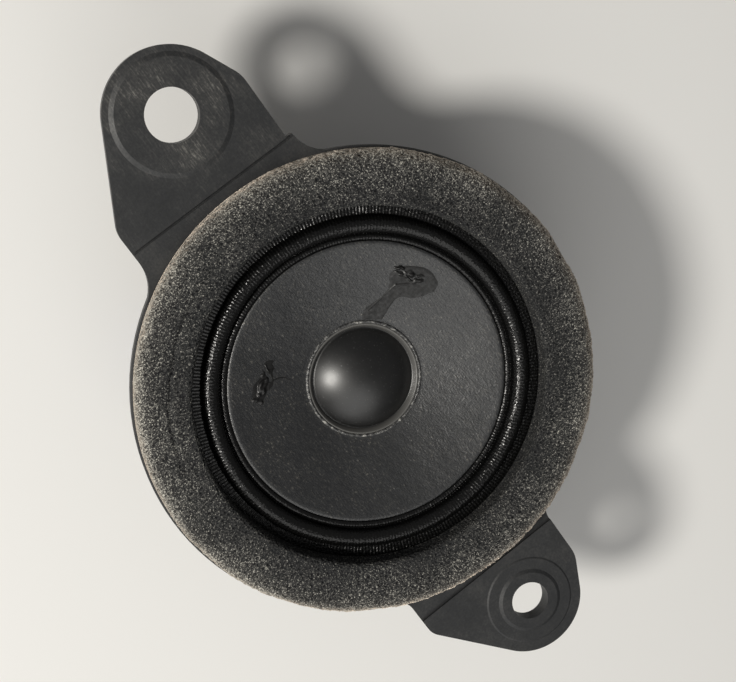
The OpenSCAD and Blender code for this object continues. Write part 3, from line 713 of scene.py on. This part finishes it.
# %% [markdown]
# ## Glue over the lead ends
# Each braided lead comes through the cone and is sealed with black glue. The glue runs into a flat pool
# with a drawn edge, and the lead makes a torn-looking lump in it. Such an outline is easiest as a distance:
# negative inside, 0 on the edge and positive outside. Ovals and tapered bars are joined with a smooth
# corner.

# %% Outline rules
def capsule(u, v, a, b, wide_a, wide_b):
    """Distance outside a bar that runs from a to b and changes its half width on the way."""
    a, b = np.array(a), np.array(b)
    along = np.clip(((u - a[0]) * (b - a)[0] + (v - a[1]) * (b - a)[1]) / ((b - a) @ (b - a)), 0, 1)
    away = np.hypot(u - a[0] - along * (b - a)[0], v - a[1] - along * (b - a)[1])
    return away - wide_a - (wide_b - wide_a) * along


def oval(u, v, centre, half, lean):
    """Rough distance outside an ellipse."""
    c, s = math.cos(math.radians(lean)), math.sin(math.radians(lean))
    du, dv = u - centre[0], v - centre[1]
    return (np.hypot((du * c + dv * s) / half[0], (dv * c - du * s) / half[1]) - 1) * min(half)


def blend_low(a, b, soft):
    """The lower of two distances, with a smooth corner."""
    mix = np.clip(0.5 + 0.5 * (b - a) / soft, 0, 1)
    return b + (a - b) * mix - soft * mix * (1 - mix)


def swell(distance, edge):
    """1 well inside an outline and 0 outside it."""
    step = np.clip(-distance / edge, 0, 1)
    return step * step * (3 - 2 * step)


def ridge(distance, width):
    """1 on a line and falling softly to 0 on both sides of it."""
    return np.exp(-(distance / width) ** 2)


def flat_noise(u, v, size, seed):
    """The wavy noise over a flat grid."""
    points = np.stack([u.ravel(), v.ravel(), np.zeros(u.size)], 1)
    return waves(points, size, seed).reshape(u.shape)


# %% [markdown]
# A fine patch of mesh is laid on the cone and raised by a height rule. The faces outside the pool are cut
# away, and what is left starts a little below the paper, so that its edge dips into it.

# %% Glue patch helper
CONE_SLOPE = (CONE_Z - NECK_Z) / (CONE_R - EDGE_LAND - NECK_R)
GLUE_TURN = math.radians(-37.8)
GRID = 0.1
SUNK = 0.03


def cone_height(x, y):
    """Height of the cone's face under a point."""
    return NECK_Z + (np.hypot(x, y) - NECK_R) * CONE_SLOPE


def glue_patch(name, centre_r, centre_angle, half_size, height_rule, replaced):
    """A patch of glue on the cone. The rule gives its height at (u, v), millimetres from its centre."""
    side = np.arange(-half_size, half_size + GRID / 10, GRID)
    u, v = np.meshgrid(side, side, indexing="ij")
    angle = math.radians(centre_angle)
    x = centre_r * math.cos(angle) + u * math.cos(GLUE_TURN) - v * math.sin(GLUE_TURN)
    y = centre_r * math.sin(angle) + u * math.sin(GLUE_TURN) + v * math.cos(GLUE_TURN)
    height = height_rule(u, v) - SUNK
    z = cone_height(x, y) + height
    count = len(side)
    bare_paper = 0.001 - SUNK
    keep = (height[:-1, :-1] > bare_paper) | (height[1:, 1:] > bare_paper)
    keep &= np.hypot(x, y)[:-1, :-1] > NECK_R + GRID
    low = np.arange(count * count).reshape(count, count)
    quads = np.stack([low[:-1, :-1], low[1:, :-1], low[1:, 1:], low[:-1, 1:]], 2)[keep]
    mesh = smooth_mesh(name, np.stack([x, y, z], 2), quads.tolist())
    trim = bmesh.new()
    trim.from_mesh(mesh)
    bmesh.ops.delete(trim, geom=[p for p in trim.verts if not p.link_faces], context="VERTS")
    trim.to_mesh(mesh)
    trim.free()
    patch = show(name, mesh)
    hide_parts(*replaced)
    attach(patch, "diaphragm")
    print(name, "faces:", len(mesh.polygons))
    return patch


# %% [markdown]
# The right lead's glue ran down to the neck. The lead lies across the upper part of the pool as a slit with
# two torn lips, and a thin end of it follows the stem.

# %% Glue over the right lead
def right_glue(u, v):
    """A flat pool with a stem down to the neck, and a slit with raised lips across its upper part."""
    pool = oval(u, v, centre=(1.0, -1.2), half=(4.4, 2.7), lean=-10)
    stem = capsule(u, v, a=(-1.6, -2.6), b=(-5.2, -7.0), wide_a=0.7, wide_b=2.0)
    pool = blend_low(pool, stem, soft=1.6) + 0.12 * flat_noise(u, v, 2.4, seed=31)
    height = 0.08 * swell(pool, 0.6) + 0.025 * ridge(pool + 0.25, 0.2)
    slit = v + 0.38 * u + 0.22 * np.sin(1.7 * u + 0.6) + 0.2 * flat_noise(u, v, 0.7, seed=32)
    reach = swell(np.abs(u) - 2.9, 0.9)
    torn = 0.75 + 0.5 * flat_noise(u, v, 0.5, seed=33)
    height += 0.38 * torn * ridge(slit - 0.42, 0.26) * reach
    height += 0.26 * torn * ridge(slit + 0.5, 0.3) * reach
    height -= 0.12 * ridge(slit, 0.2) * reach
    knot = np.exp(-((u + 0.5) ** 2 + slit ** 2) / 0.12)
    fold = ridge(v + 1.6 - 0.12 * u, 0.13) * swell(np.abs(u + 0.6) - 1.8, 0.8)
    thin_end = capsule(u, v, a=(-1.9, -1.7), b=(-6.3, -6.3), wide_a=0.0, wide_b=0.0)
    return height + 0.3 * knot * reach + 0.1 * fold + 0.09 * ridge(thin_end, 0.13)


glue_right = glue_patch(
    "lead_glue_right", centre_r=19.4, centre_angle=33, half_size=8.0, height_rule=right_glue,
    replaced=["lead_tie_right", "coil_leads"])

# %% [markdown]
# The left lead's glue stayed where it was put: a crumpled lump in a thin pool, with a dried edge beside it.

# %% Glue over the left lead
def left_glue(u, v):
    """A long crumpled lump in a thin pool, with one dark crevice."""
    wobble = 0.3 * flat_noise(u, v, 1.3, seed=41)
    pool = oval(u, v, centre=(0.0, 0.0), half=(1.7, 4.0), lean=-18) + wobble
    dried = oval(u, v, centre=(3.2, -0.8), half=(2.2, 1.8), lean=10) + 0.4 * wobble
    height = 0.06 * swell(pool, 0.5) + 0.05 * ridge(dried, 0.14)
    lump = oval(u, v, centre=(-0.2, -0.2), half=(1.0, 3.6), lean=-18) + 0.35 * flat_noise(u, v, 0.7, seed=42)
    height += (0.36 + 0.24 * flat_noise(u, v, 0.45, seed=43)) * swell(lump, 0.6)
    crevice = capsule(u, v, a=(0.1, 2.9), b=(1.2, 0.7), wide_a=0.05, wide_b=0.05)
    height -= 0.35 * ridge(crevice, 0.2)
    notch = capsule(u, v, a=(1.9, 3.4), b=(2.4, 2.8), wide_a=0.1, wide_b=0.1)
    return height - 0.2 * ridge(notch, 0.2) * swell(pool, 0.2)


glue_left = glue_patch(
    "lead_glue_left", centre_r=17.9, centre_angle=143, half_size=5.5, height_rule=left_glue,
    replaced=["lead_tie_left"])

# %% [markdown]
# Black glue sets with a skin that is glossy in some places and dull in others, so one noise changes its
# tone, its gloss and its bump together.

# %% Glue finish
glue_finish, tree, shader = finish_of("set black glue", grey(0.008), 0.38, Specular_IOR_Level=0.5)
skin = grain(tree, where(tree), 1.8, detail=3.0)
tint = ramp(tree, skin, [(0.35, grey(0.005)), (0.65, grey(0.012)), (0.8, grey(0.05))])
feed(tree, shader, Base_Color=tint, Roughness=remap(tree, skin, 0.35, 0.65, 0.56, 0.3))
bump(tree, shader, skin, 0.06, 0.6)
wear(glue_finish, glue_right, glue_left)

# %% [markdown]
# ## Cement ring
# The clear cement between the cone's neck and the dust cap dries hard. Its ring comes with the frame, and a
# coarse noise dots it with pale crumbs.

# %% Cement finish
cement_finish, tree, shader = finish_of("dried cement ring", grey(0.09), 0.28, Specular_IOR_Level=0.7)
crumb = grain(tree, where(tree), 1.6, detail=4.0, rough=0.7)
tint = ramp(tree, crumb, [(0.4, grey(0.02)), (0.55, grey(0.09)), (0.68, (0.5, 0.49, 0.45))])
feed(tree, shader, Base_Color=tint)
bump(tree, shader, crumb, 0.2, 0.8)
wear(cement_finish, nodes["neck_glue_bead"])

# %% [markdown]
# ## Spider
# The spider keeps the coil in the middle of its gap. It is a disc of woven cotton, soaked in resin and
# pressed hot between two grooved dies, so it has round waves and stays springy. Its collar is glued to the
# coil's former and its flat rim to a ring. It moves like the surround: all of the travel at the collar,
# none at the rim.

# %% Spider shape
SPIDER_IN, SPIDER_OUT, SPIDER_Z, SPIDER_T = 9.8, 24.6, -8.0, 0.35
COLLAR_H = 1.1
WAVE_IN, WAVE_OUT, WAVE_COUNT, WAVE_H = 11.2, 21.5, 4, 0.55
wave_at = np.linspace(WAVE_IN, WAVE_OUT, 65)
wave_z = WAVE_H * np.sin((wave_at - WAVE_IN) / (WAVE_OUT - WAVE_IN) * WAVE_COUNT * 2 * math.pi)
cloth_top = list(zip(wave_at, SPIDER_Z + SPIDER_T + wave_z))
cloth_low = list(zip(wave_at, SPIDER_Z + wave_z))
spider_outline = [
    (SPIDER_IN, SPIDER_Z), (SPIDER_IN, SPIDER_Z + COLLAR_H), (SPIDER_IN + SPIDER_T, SPIDER_Z + COLLAR_H),
    (SPIDER_IN + SPIDER_T + 0.1, SPIDER_Z + SPIDER_T + 0.1), *cloth_top, (SPIDER_OUT, SPIDER_Z + SPIDER_T),
    (SPIDER_OUT, SPIDER_Z), *cloth_low[::-1]]
spider = lathe("spider_pressed_cloth", resample(spider_outline, step=0.5), turns=360)
table = points_of(spider)
radius = np.hypot(table[:, 0], table[:, 1])
share_travel(spider)
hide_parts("spider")
print("spider vertices:", len(spider.data.vertices))

# %% [markdown]
# The cotton's threads run straight, and only the pressing is round. So two wave textures at right angles
# give the weave, and a slow noise shows where the resin soaked in deeper.

# %% Spider finish
cotton = (0.4, 0.26, 0.1)
spider_finish, tree, shader = finish_of("resin-stiffened cotton", cotton, 0.7, Specular_IOR_Level=0.35)
at = where(tree)
warp = add(tree, "TexWave", Scale=0.55, Distortion=0.5, bands_direction="X")
weft = add(tree, "TexWave", Scale=0.55, Distortion=0.5, bands_direction="Y")
for threads in (warp, weft):
    tree.links.new(at, threads.inputs["Vector"])
weave = times(tree, warp.outputs["Fac"], weft.outputs["Fac"])
soak = grain(tree, at, 0.2, detail=3.0)
mix = weighted(tree, weave, 0.55, soak, 0.45)
tint = ramp(tree, mix, [(0.1, (0.1, 0.05, 0.015)), (0.45, (0.36, 0.22, 0.075)), (0.8, (0.58, 0.4, 0.17))])
feed(tree, shader, Base_Color=tint)
bump(tree, shader, weave, 0.12, 0.8)
wear(spider_finish, spider)

# %% [markdown]
# ## Braided leads and the jumper
# The coil's current comes in through two tinsel leads: copper foil wound on cotton and braided, so that
# they can bend millions of times. Each hangs in a loop from the cone to a solder joint on the basket. The
# braid is modelled as two sets of strands that cross. The jumper is an ordinary wire in a smooth sleeve.

# %% Drawn routes
def polar(r, degrees, z):
    """A point given by its radius, its angle and its height."""
    return (r * math.cos(math.radians(degrees)), r * math.sin(math.radians(degrees)), z)


def smooth_path(route, steps):
    """A smooth curve through given points."""
    route = np.array(route, float)
    ends = np.vstack([route[:1], route, route[-1:]])
    t = (np.arange(steps) / steps)[:, None]
    parts = []
    for a, b, c, d in zip(ends, ends[1:], ends[2:], ends[3:]):
        bend = t ** 2 * (2 * a - 5 * b + 4 * c - d) + t ** 3 * (3 * b - a - 3 * c + d)
        parts.append(0.5 * (2 * b + t * (c - a) + bend))
    return np.vstack(parts + [route[-1:]])


# %% [markdown]
# A tube is a row of rings along such a curve. Each ring faces along the curve, is turned as little as
# possible from the last one, and is joined to it. A braid makes the rings wavy, with one set of strands
# leaning each way.

# %% Tube helper
def skin_faces(rows, cols):
    """Faces of a closed skin over rows of cols points each, with one flat face at either end."""
    index = np.arange(rows * cols).reshape(rows, cols)
    beside = np.roll(index, -1, 1)
    faces = np.stack([index[:-1], beside[:-1], beside[1:], index[1:]], 2).reshape(-1, 4).tolist()
    return faces + [index[0, ::-1].tolist(), index[-1].tolist()]


def tube(name, path, thick, sides=24, braid=0.0, pitch=1.6):
    """A closed tube along a path, and how far along it each vertex lies, from 0 to 1."""
    ahead = np.gradient(path, axis=0)
    ahead /= np.linalg.norm(ahead, axis=1)[:, None]
    side = np.zeros_like(path)
    last = np.cross(ahead[0], (0.3, 0.9, 0.1))
    for i, way in enumerate(ahead):
        last = last - way * (last @ way)
        last /= np.linalg.norm(last)
        side[i] = last
    other = np.cross(ahead, side)
    steps = np.linalg.norm(np.diff(path, axis=0), axis=1)
    along = np.concatenate([[0], np.cumsum(steps)])
    turn = np.arange(sides) * 2 * math.pi / sides
    lean = 2 * math.pi * along[:, None] / pitch
    strand_count = 4
    strands = np.maximum(np.cos(strand_count * turn + lean), np.cos(strand_count * turn - lean))
    size = thick * (1 - braid * (1 - strands) / 2)
    cos_part = np.cos(turn)[None, :, None] * side[:, None]
    sin_part = np.sin(turn)[None, :, None] * other[:, None]
    ring = size[:, :, None] * (cos_part + sin_part)
    mesh = smooth_mesh(name, path[:, None] + ring, skin_faces(len(path), sides))
    return show(name, mesh), np.repeat(along / along[-1], sides)


# %% [markdown]
# The points of each route were chosen. Both leads drop from the cone, hang in a loop, and rise to
# their joint: the left one to the capacitor's far foot, the right one to a blade. The jumper joins the
# other blade to the near foot.

# %% Routes of the leads and the jumper
TIE_R, STUB_Z, WIRE_TOP, BLADE_TOP = 18.6, -1.75, -5.2, -6.5
BLADE_X, BLADE_Y = 3.2, 27.3
CAN_R, CAN_AT, CAN_Z, CAN_TURN, FOOT_OUT = 4.0, 28.6, -18.2, 140, 10.0


def foot(side, z):
    """A point over one of the capacitor's two soldered leads."""
    x, y, _ = polar(CAN_AT, CAN_TURN, z)
    dx, dy, _ = polar(FOOT_OUT * side, CAN_TURN - 90, z)
    return (x + dx, y + dy, z)


near, far = foot(1, WIRE_TOP + 1), foot(-1, WIRE_TOP + 1)
left_route = [
    polar(TIE_R, 143, STUB_Z), polar(TIE_R, 143, STUB_Z - 1), polar(TIE_R + 1.1, 146, WIRE_TOP + 1),
    polar(TIE_R + 3.1, 153, WIRE_TOP), polar(TIE_R + 6.1, 158, WIRE_TOP + 0.6),
    polar(TIE_R + 8.8, 158, WIRE_TOP + 1.2), (far[0] + 0.6, far[1], far[2]), foot(-1, WIRE_TOP + 0.2)]
right_route = [
    polar(TIE_R, 34, STUB_Z), polar(TIE_R, 34, STUB_Z - 1), polar(TIE_R + 3, 40, WIRE_TOP + 1),
    polar(TIE_R + 5.4, 50, WIRE_TOP), polar(TIE_R + 6.4, 62, WIRE_TOP + 0.2),
    (BLADE_X + 4, BLADE_Y - 1.7, WIRE_TOP + 1), (BLADE_X + 1, BLADE_Y, BLADE_TOP + 1.2),
    (BLADE_X, BLADE_Y, BLADE_TOP + 0.2)]
jumper_route = [
    (-BLADE_X, BLADE_Y, BLADE_TOP + 0.2), (-BLADE_X - 1, BLADE_Y, BLADE_TOP + 1),
    polar(29.5, 105.7, WIRE_TOP + 0.6), polar(30.4, 113.2, WIRE_TOP + 0.6),
    (near[0] + 1, near[1], near[2]), foot(1, WIRE_TOP + 0.2)]
print("points chosen:", len(left_route), "left,", len(right_route), "right,", len(jumper_route), "jumper")

# %% [markdown]
# Each lead's placement is baked into its mesh. The jumper stays with the frame.

# %% Build the leads and the jumper
LEAD_R, SLEEVE_R, BRAID = 0.42, 0.45, 0.3
leads = []
for side_name, route in (("left", left_route), ("right", right_route)):
    lead, along = tube("tinsel_braid_" + side_name, smooth_path(route, 40), LEAD_R, braid=BRAID)
    share_travel(lead)
    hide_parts("tinsel_lead_" + side_name)
    leads.append(lead)
jumper, _ = tube("jumper_sleeve", smooth_path(jumper_route, 24), SLEEVE_R)
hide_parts("jumper_wire")
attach(jumper, "frame")
print("lead vertices:", [len(lead.data.vertices) for lead in leads])

# %% [markdown]
# ## Solder
# Solder wets the joint and sets with a hollow slope up to the wire, so its drop is turned from a curved
# outline and repeated at the four joints.

# %% Solder drops
def repeat(piece, centres):
    """Puts a copy of the piece's mesh at each centre, all in one object."""
    one = points_of(piece)
    faces = [list(f.vertices) for f in piece.data.polygons]
    points = np.vstack([one + np.array(centre) for centre in centres])
    all_faces = [[i + k * len(one) for i in face] for k in range(len(centres)) for face in faces]
    piece.data = smooth_mesh(piece.name, points, all_faces)


SOLDER_LOW = 0.7
drop = [
    (0, 0), (1.08, 0), (1.1, 0.07), (0.98, 0.2), (0.78, 0.42), (0.63, 0.75), (0.56, 1.1), (0.5, 1.34),
    (0.3, 1.47), (0, 1.5)]
solder = lathe("solder_drops", drop, turns=32, closed=False)
repeat(solder, [
    (-BLADE_X, BLADE_Y, BLADE_TOP + 0.2 - SOLDER_LOW), (BLADE_X, BLADE_Y, BLADE_TOP + 0.2 - SOLDER_LOW),
    foot(1, WIRE_TOP - SOLDER_LOW), foot(-1, WIRE_TOP - SOLDER_LOW)])
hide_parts("solder_joints")
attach(solder, "frame")
print("solder vertices:", len(solder.data.vertices))

# %% [markdown]
# ## Hot glue
# Hot glue is laid by hand in the corner between the capacitor and the basket. It is milky, and its free face
# is a soft hollow with rounded ends. One rule gives its outline for any place along the can: full size in
# the middle, and shrinking towards both tips.

# %% Hot glue outline
GLUE_IN, GLUE_TOP = 23.8, -14.0
CORNER_TURN, CORNER_BACK, CORNER_ON = 96, 82, 28
TIP_IN = CAN_AT - 0.4
ON_CAN, ON_BASKET = 18, 14


def glue_slice(full):
    """Outline of the glue at one place along the can; full runs from 0 at its tips to 1 in its middle."""
    start, stop = CORNER_TURN + CORNER_BACK * full, CORNER_TURN - CORNER_ON * full
    on_can = arc(CAN_AT, CAN_Z, CAN_R + 0.01, start, stop, ON_CAN)
    top_out = on_can[-1][0]
    top_in = TIP_IN - (TIP_IN - GLUE_IN) * full
    on_basket = [(x, GLUE_TOP) for x in np.linspace(top_out, top_in, ON_BASKET)]
    a, c = np.array(on_basket[-1]), np.array(on_can[0])
    b = (a + c) / 2 + np.array((0.9, 0.5)) * full
    t = np.linspace(0, 1, ON_BASKET)[1:-1, None]
    return np.vstack([on_can, on_basket, (1 - t) ** 2 * a + 2 * t * (1 - t) * b + t ** 2 * c])


# %% [markdown]
# The outlines stand along the can, closest together at the tips, and one skin is drawn over all of them.
# Only the free face gets slow waves.

# %% Hot glue shape
GLUE_HALF = 4.2
places = np.sin(np.linspace(-math.pi / 2, math.pi / 2, 41))
slices = [glue_slice(0.1 + 0.9 * math.sqrt(max(0, 1 - p * p))) for p in places]
turn = math.radians(CAN_TURN)
out, sideways = np.array((math.cos(turn), math.sin(turn))), np.array((-math.sin(turn), math.cos(turn)))
shift = [GLUE_HALF * p * sideways for p in places]
grid = np.array([[(*(r * out + aside), z) for r, z in cut] for aside, cut in zip(shift, slices)])
rows, cols = grid.shape[:2]
flat = grid.reshape(-1, 3)
free = (np.arange(cols) > ON_CAN + ON_BASKET)[None, :].repeat(rows, 0).ravel()
flat[:, 2] += 0.12 * waves(flat, 1.6, seed=51) * free
hot_glue = show("hot_glue", smooth_mesh("hot_glue", flat, skin_faces(rows, cols)))
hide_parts("capacitor_glue")
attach(hot_glue, "frame")
print("hot glue vertices:", len(flat))

# %% [markdown]
# ## Metals
# The plates are stamped from mild steel and zinc plated, the screws are bright steel, and the cap over the
# pole is a thin copper cup that lowers the coil's inductance. Plating is never even, so roughness and tone
# change in soft clouds.

# %% Metal finishes
def metal(name, colour, rough, clouds_per_mm=0.5, pitted=0.01):
    """Bare or plated metal with a cloudy gloss."""
    material, tree, shader = finish_of(name, colour, rough, Metallic=1.0)
    at = where(tree)
    cloud = grain(tree, at, clouds_per_mm, detail=4.0, rough=0.6)
    dull = tuple(0.82 * c for c in colour)
    gloss = remap(tree, cloud, 0.3, 0.7, rough - 0.08, rough + 0.1)
    feed(tree, shader, Base_Color=ramp(tree, cloud, [(0.35, dull), (0.65, colour)]), Roughness=gloss)
    bump(tree, shader, grain(tree, at, 3.0, detail=2.0), pitted, 0.5)
    return material


wear(metal("zinc-plated steel", (0.56, 0.57, 0.58), 0.36, 0.15), nodes["top_plate"], nodes["yoke"])
wear(metal("bright steel", (0.5, 0.49, 0.47), 0.3, 1.5), nodes["motor_screws"], nodes["connector_screws"])
wear(metal("copper sheet", (0.78, 0.4, 0.24), 0.34), nodes["shorting_cap"])
wear(metal("tinned brass", (0.66, 0.62, 0.5), 0.3, 1.2), nodes["blade_left"], nodes["blade_right"])
wear(metal("tinned wire", (0.62, 0.63, 0.65), 0.28, 2.0), nodes["capacitor_leads"])
wear(metal("solder", (0.6, 0.61, 0.63), 0.24, 1.5, 0.03), solder)
wear(metal("copper tinsel braid", (0.6, 0.34, 0.2), 0.42, 2.5, 0.04), *leads)

# %% [markdown]
# ## Magnet
# A ring magnet is pressed and fired from ferrite powder and ground flat on both faces. It is nearly black,
# brittle and slightly grainy, with a dull sheen where it was ground.

# %% Magnet finish
ferrite_finish, tree, shader = finish_of("fired ferrite", grey(0.03), 0.5, Specular_IOR_Level=0.6)
at = where(tree)
powder = grain(tree, at, 3.2, detail=3.0, rough=0.7)
cloud = grain(tree, at, 0.2, detail=4.0)
mix = weighted(tree, powder, 0.55, cloud, 0.45)
tint = ramp(tree, mix, [(0.32, grey(0.014)), (0.5, grey(0.03)), (0.7, (0.075, 0.075, 0.08))])
feed(tree, shader, Base_Color=tint, Roughness=remap(tree, cloud, 0.35, 0.65, 0.58, 0.42))
bump(tree, shader, powder, 0.05, 0.6)
wear(ferrite_finish, nodes["ring_magnet"])

# %% [markdown]
# ## Coil
# The coil is one layer over another of enamelled copper wire on a paper tube. The turns lie side by side and
# show as fine bright lines round the coil, so a wave along the axis drives the bump and also the colour: a
# painted highlight on each turn and painted shade between the turns.

# %% Coil finish
winding_finish, tree, shader = finish_of("enamelled copper turns", (0.5, 0.17, 0.06), 0.3, Metallic=0.85)
turns = add(tree, "TexWave", Scale=1.2, bands_direction="Z")
tree.links.new(where(tree), turns.inputs["Vector"])
height = turns.outputs["Fac"]
# Painted shade between the turns and a painted highlight on each turn.
tint = ramp(tree, height, [(0.0, (0.06, 0.018, 0.008)), (0.5, (0.5, 0.17, 0.06)), (1.0, (0.66, 0.26, 0.1))])
feed(tree, shader, Base_Color=tint)
bump(tree, shader, height, 0.08, 0.8)
wear(winding_finish, nodes["coil_winding"])

# %% [markdown]
# The former, the coil's tube, is brown kraft paper. Its fibres run along the axis, so the noise is stretched
# that way.

# %% Former finish
former_finish, tree, shader = finish_of("kraft paper tube", (0.42, 0.28, 0.14), 0.7)
fibre = grain(tree, where(tree, (1, 1, 0.3)), 2.0, detail=3.0)
feed(tree, shader, Base_Color=ramp(tree, fibre, [(0.3, (0.3, 0.19, 0.09)), (0.7, (0.5, 0.35, 0.19))]))
wear(former_finish, nodes["coil_former"])

# %% [markdown]
# ## Plastics and card
# The connector is moulded in natural nylon, which is off-white and lets a little light in. The capacitor
# wears a shrunk sleeve that stops short of its sealed ends. The spider's ring is black plastic, and the
# clamp ring is dyed card.

# %% Plastic finishes
def plastic(piece, name, low, high, rough, per_mm=1.0, **sockets):
    """A moulded or shrunk plastic on one piece: two close tones and a gentle orange-peel face."""
    material, tree, shader = finish_of(name, high, rough, **sockets)
    tone = grain(tree, where(tree), per_mm, detail=4.0)
    tint = ramp(tree, tone, [(0.3, low), (0.7, high)])
    feed(tree, shader, Base_Color=tint, Roughness=remap(tree, tone, 0.3, 0.7, rough + 0.06, rough - 0.06))
    bump(tree, shader, tone, 0.03, 0.4)
    wear(material, piece)
    return tree, shader, tint


plastic(
    nodes["connector_housing"], "natural nylon", (0.6, 0.57, 0.47), (0.7, 0.67, 0.57), 0.42,
    Subsurface_Weight=0.12, Subsurface_Scale=0.002)
plastic(
    hot_glue, "hot-melt glue", (0.55, 0.51, 0.4), (0.68, 0.64, 0.53), 0.3, 0.6,
    Subsurface_Weight=0.3, Subsurface_Scale=0.003)
plastic(nodes["spider_ring"], "black ring plastic", grey(0.014), grey(0.03), 0.45)
plastic(nodes["clamp_ring"], "dyed card", grey(0.012), grey(0.03), 0.8, 2.0)
plastic(jumper, "red wire sleeve", (0.16, 0.012, 0.01), (0.24, 0.02, 0.014), 0.38)

# %% [markdown]
# The capacitor's sleeve is blue, and its sealed ends are nearly black. The distance from its middle,
# measured along its own axis, tells the two apart, so one finish serves the whole can.

# %% Capacitor finish
SLEEVE_HALF = 7.6
tree, shader, blue = plastic(
    nodes["capacitor"], "shrunk blue sleeve", (0.01, 0.035, 0.19), (0.014, 0.05, 0.26), 0.26, 0.4)
axis = add(tree, "VectorMath", operation="DOT_PRODUCT")
axis.inputs[1].default_value = polar(1, CAN_TURN - 90, 0)
tree.links.new(where(tree), axis.inputs[0])
at_end = maths(tree, "GREATER_THAN", maths(tree, "ABSOLUTE", axis.outputs["Value"], 0.0), SLEEVE_HALF)
feed(tree, shader, Base_Color=two_tone(tree, at_end, blue, (0.02, 0.019, 0.018)))
bare = [name for name, node in nodes.items() if not node.data.materials]
print("nodes without a finish:", bare)
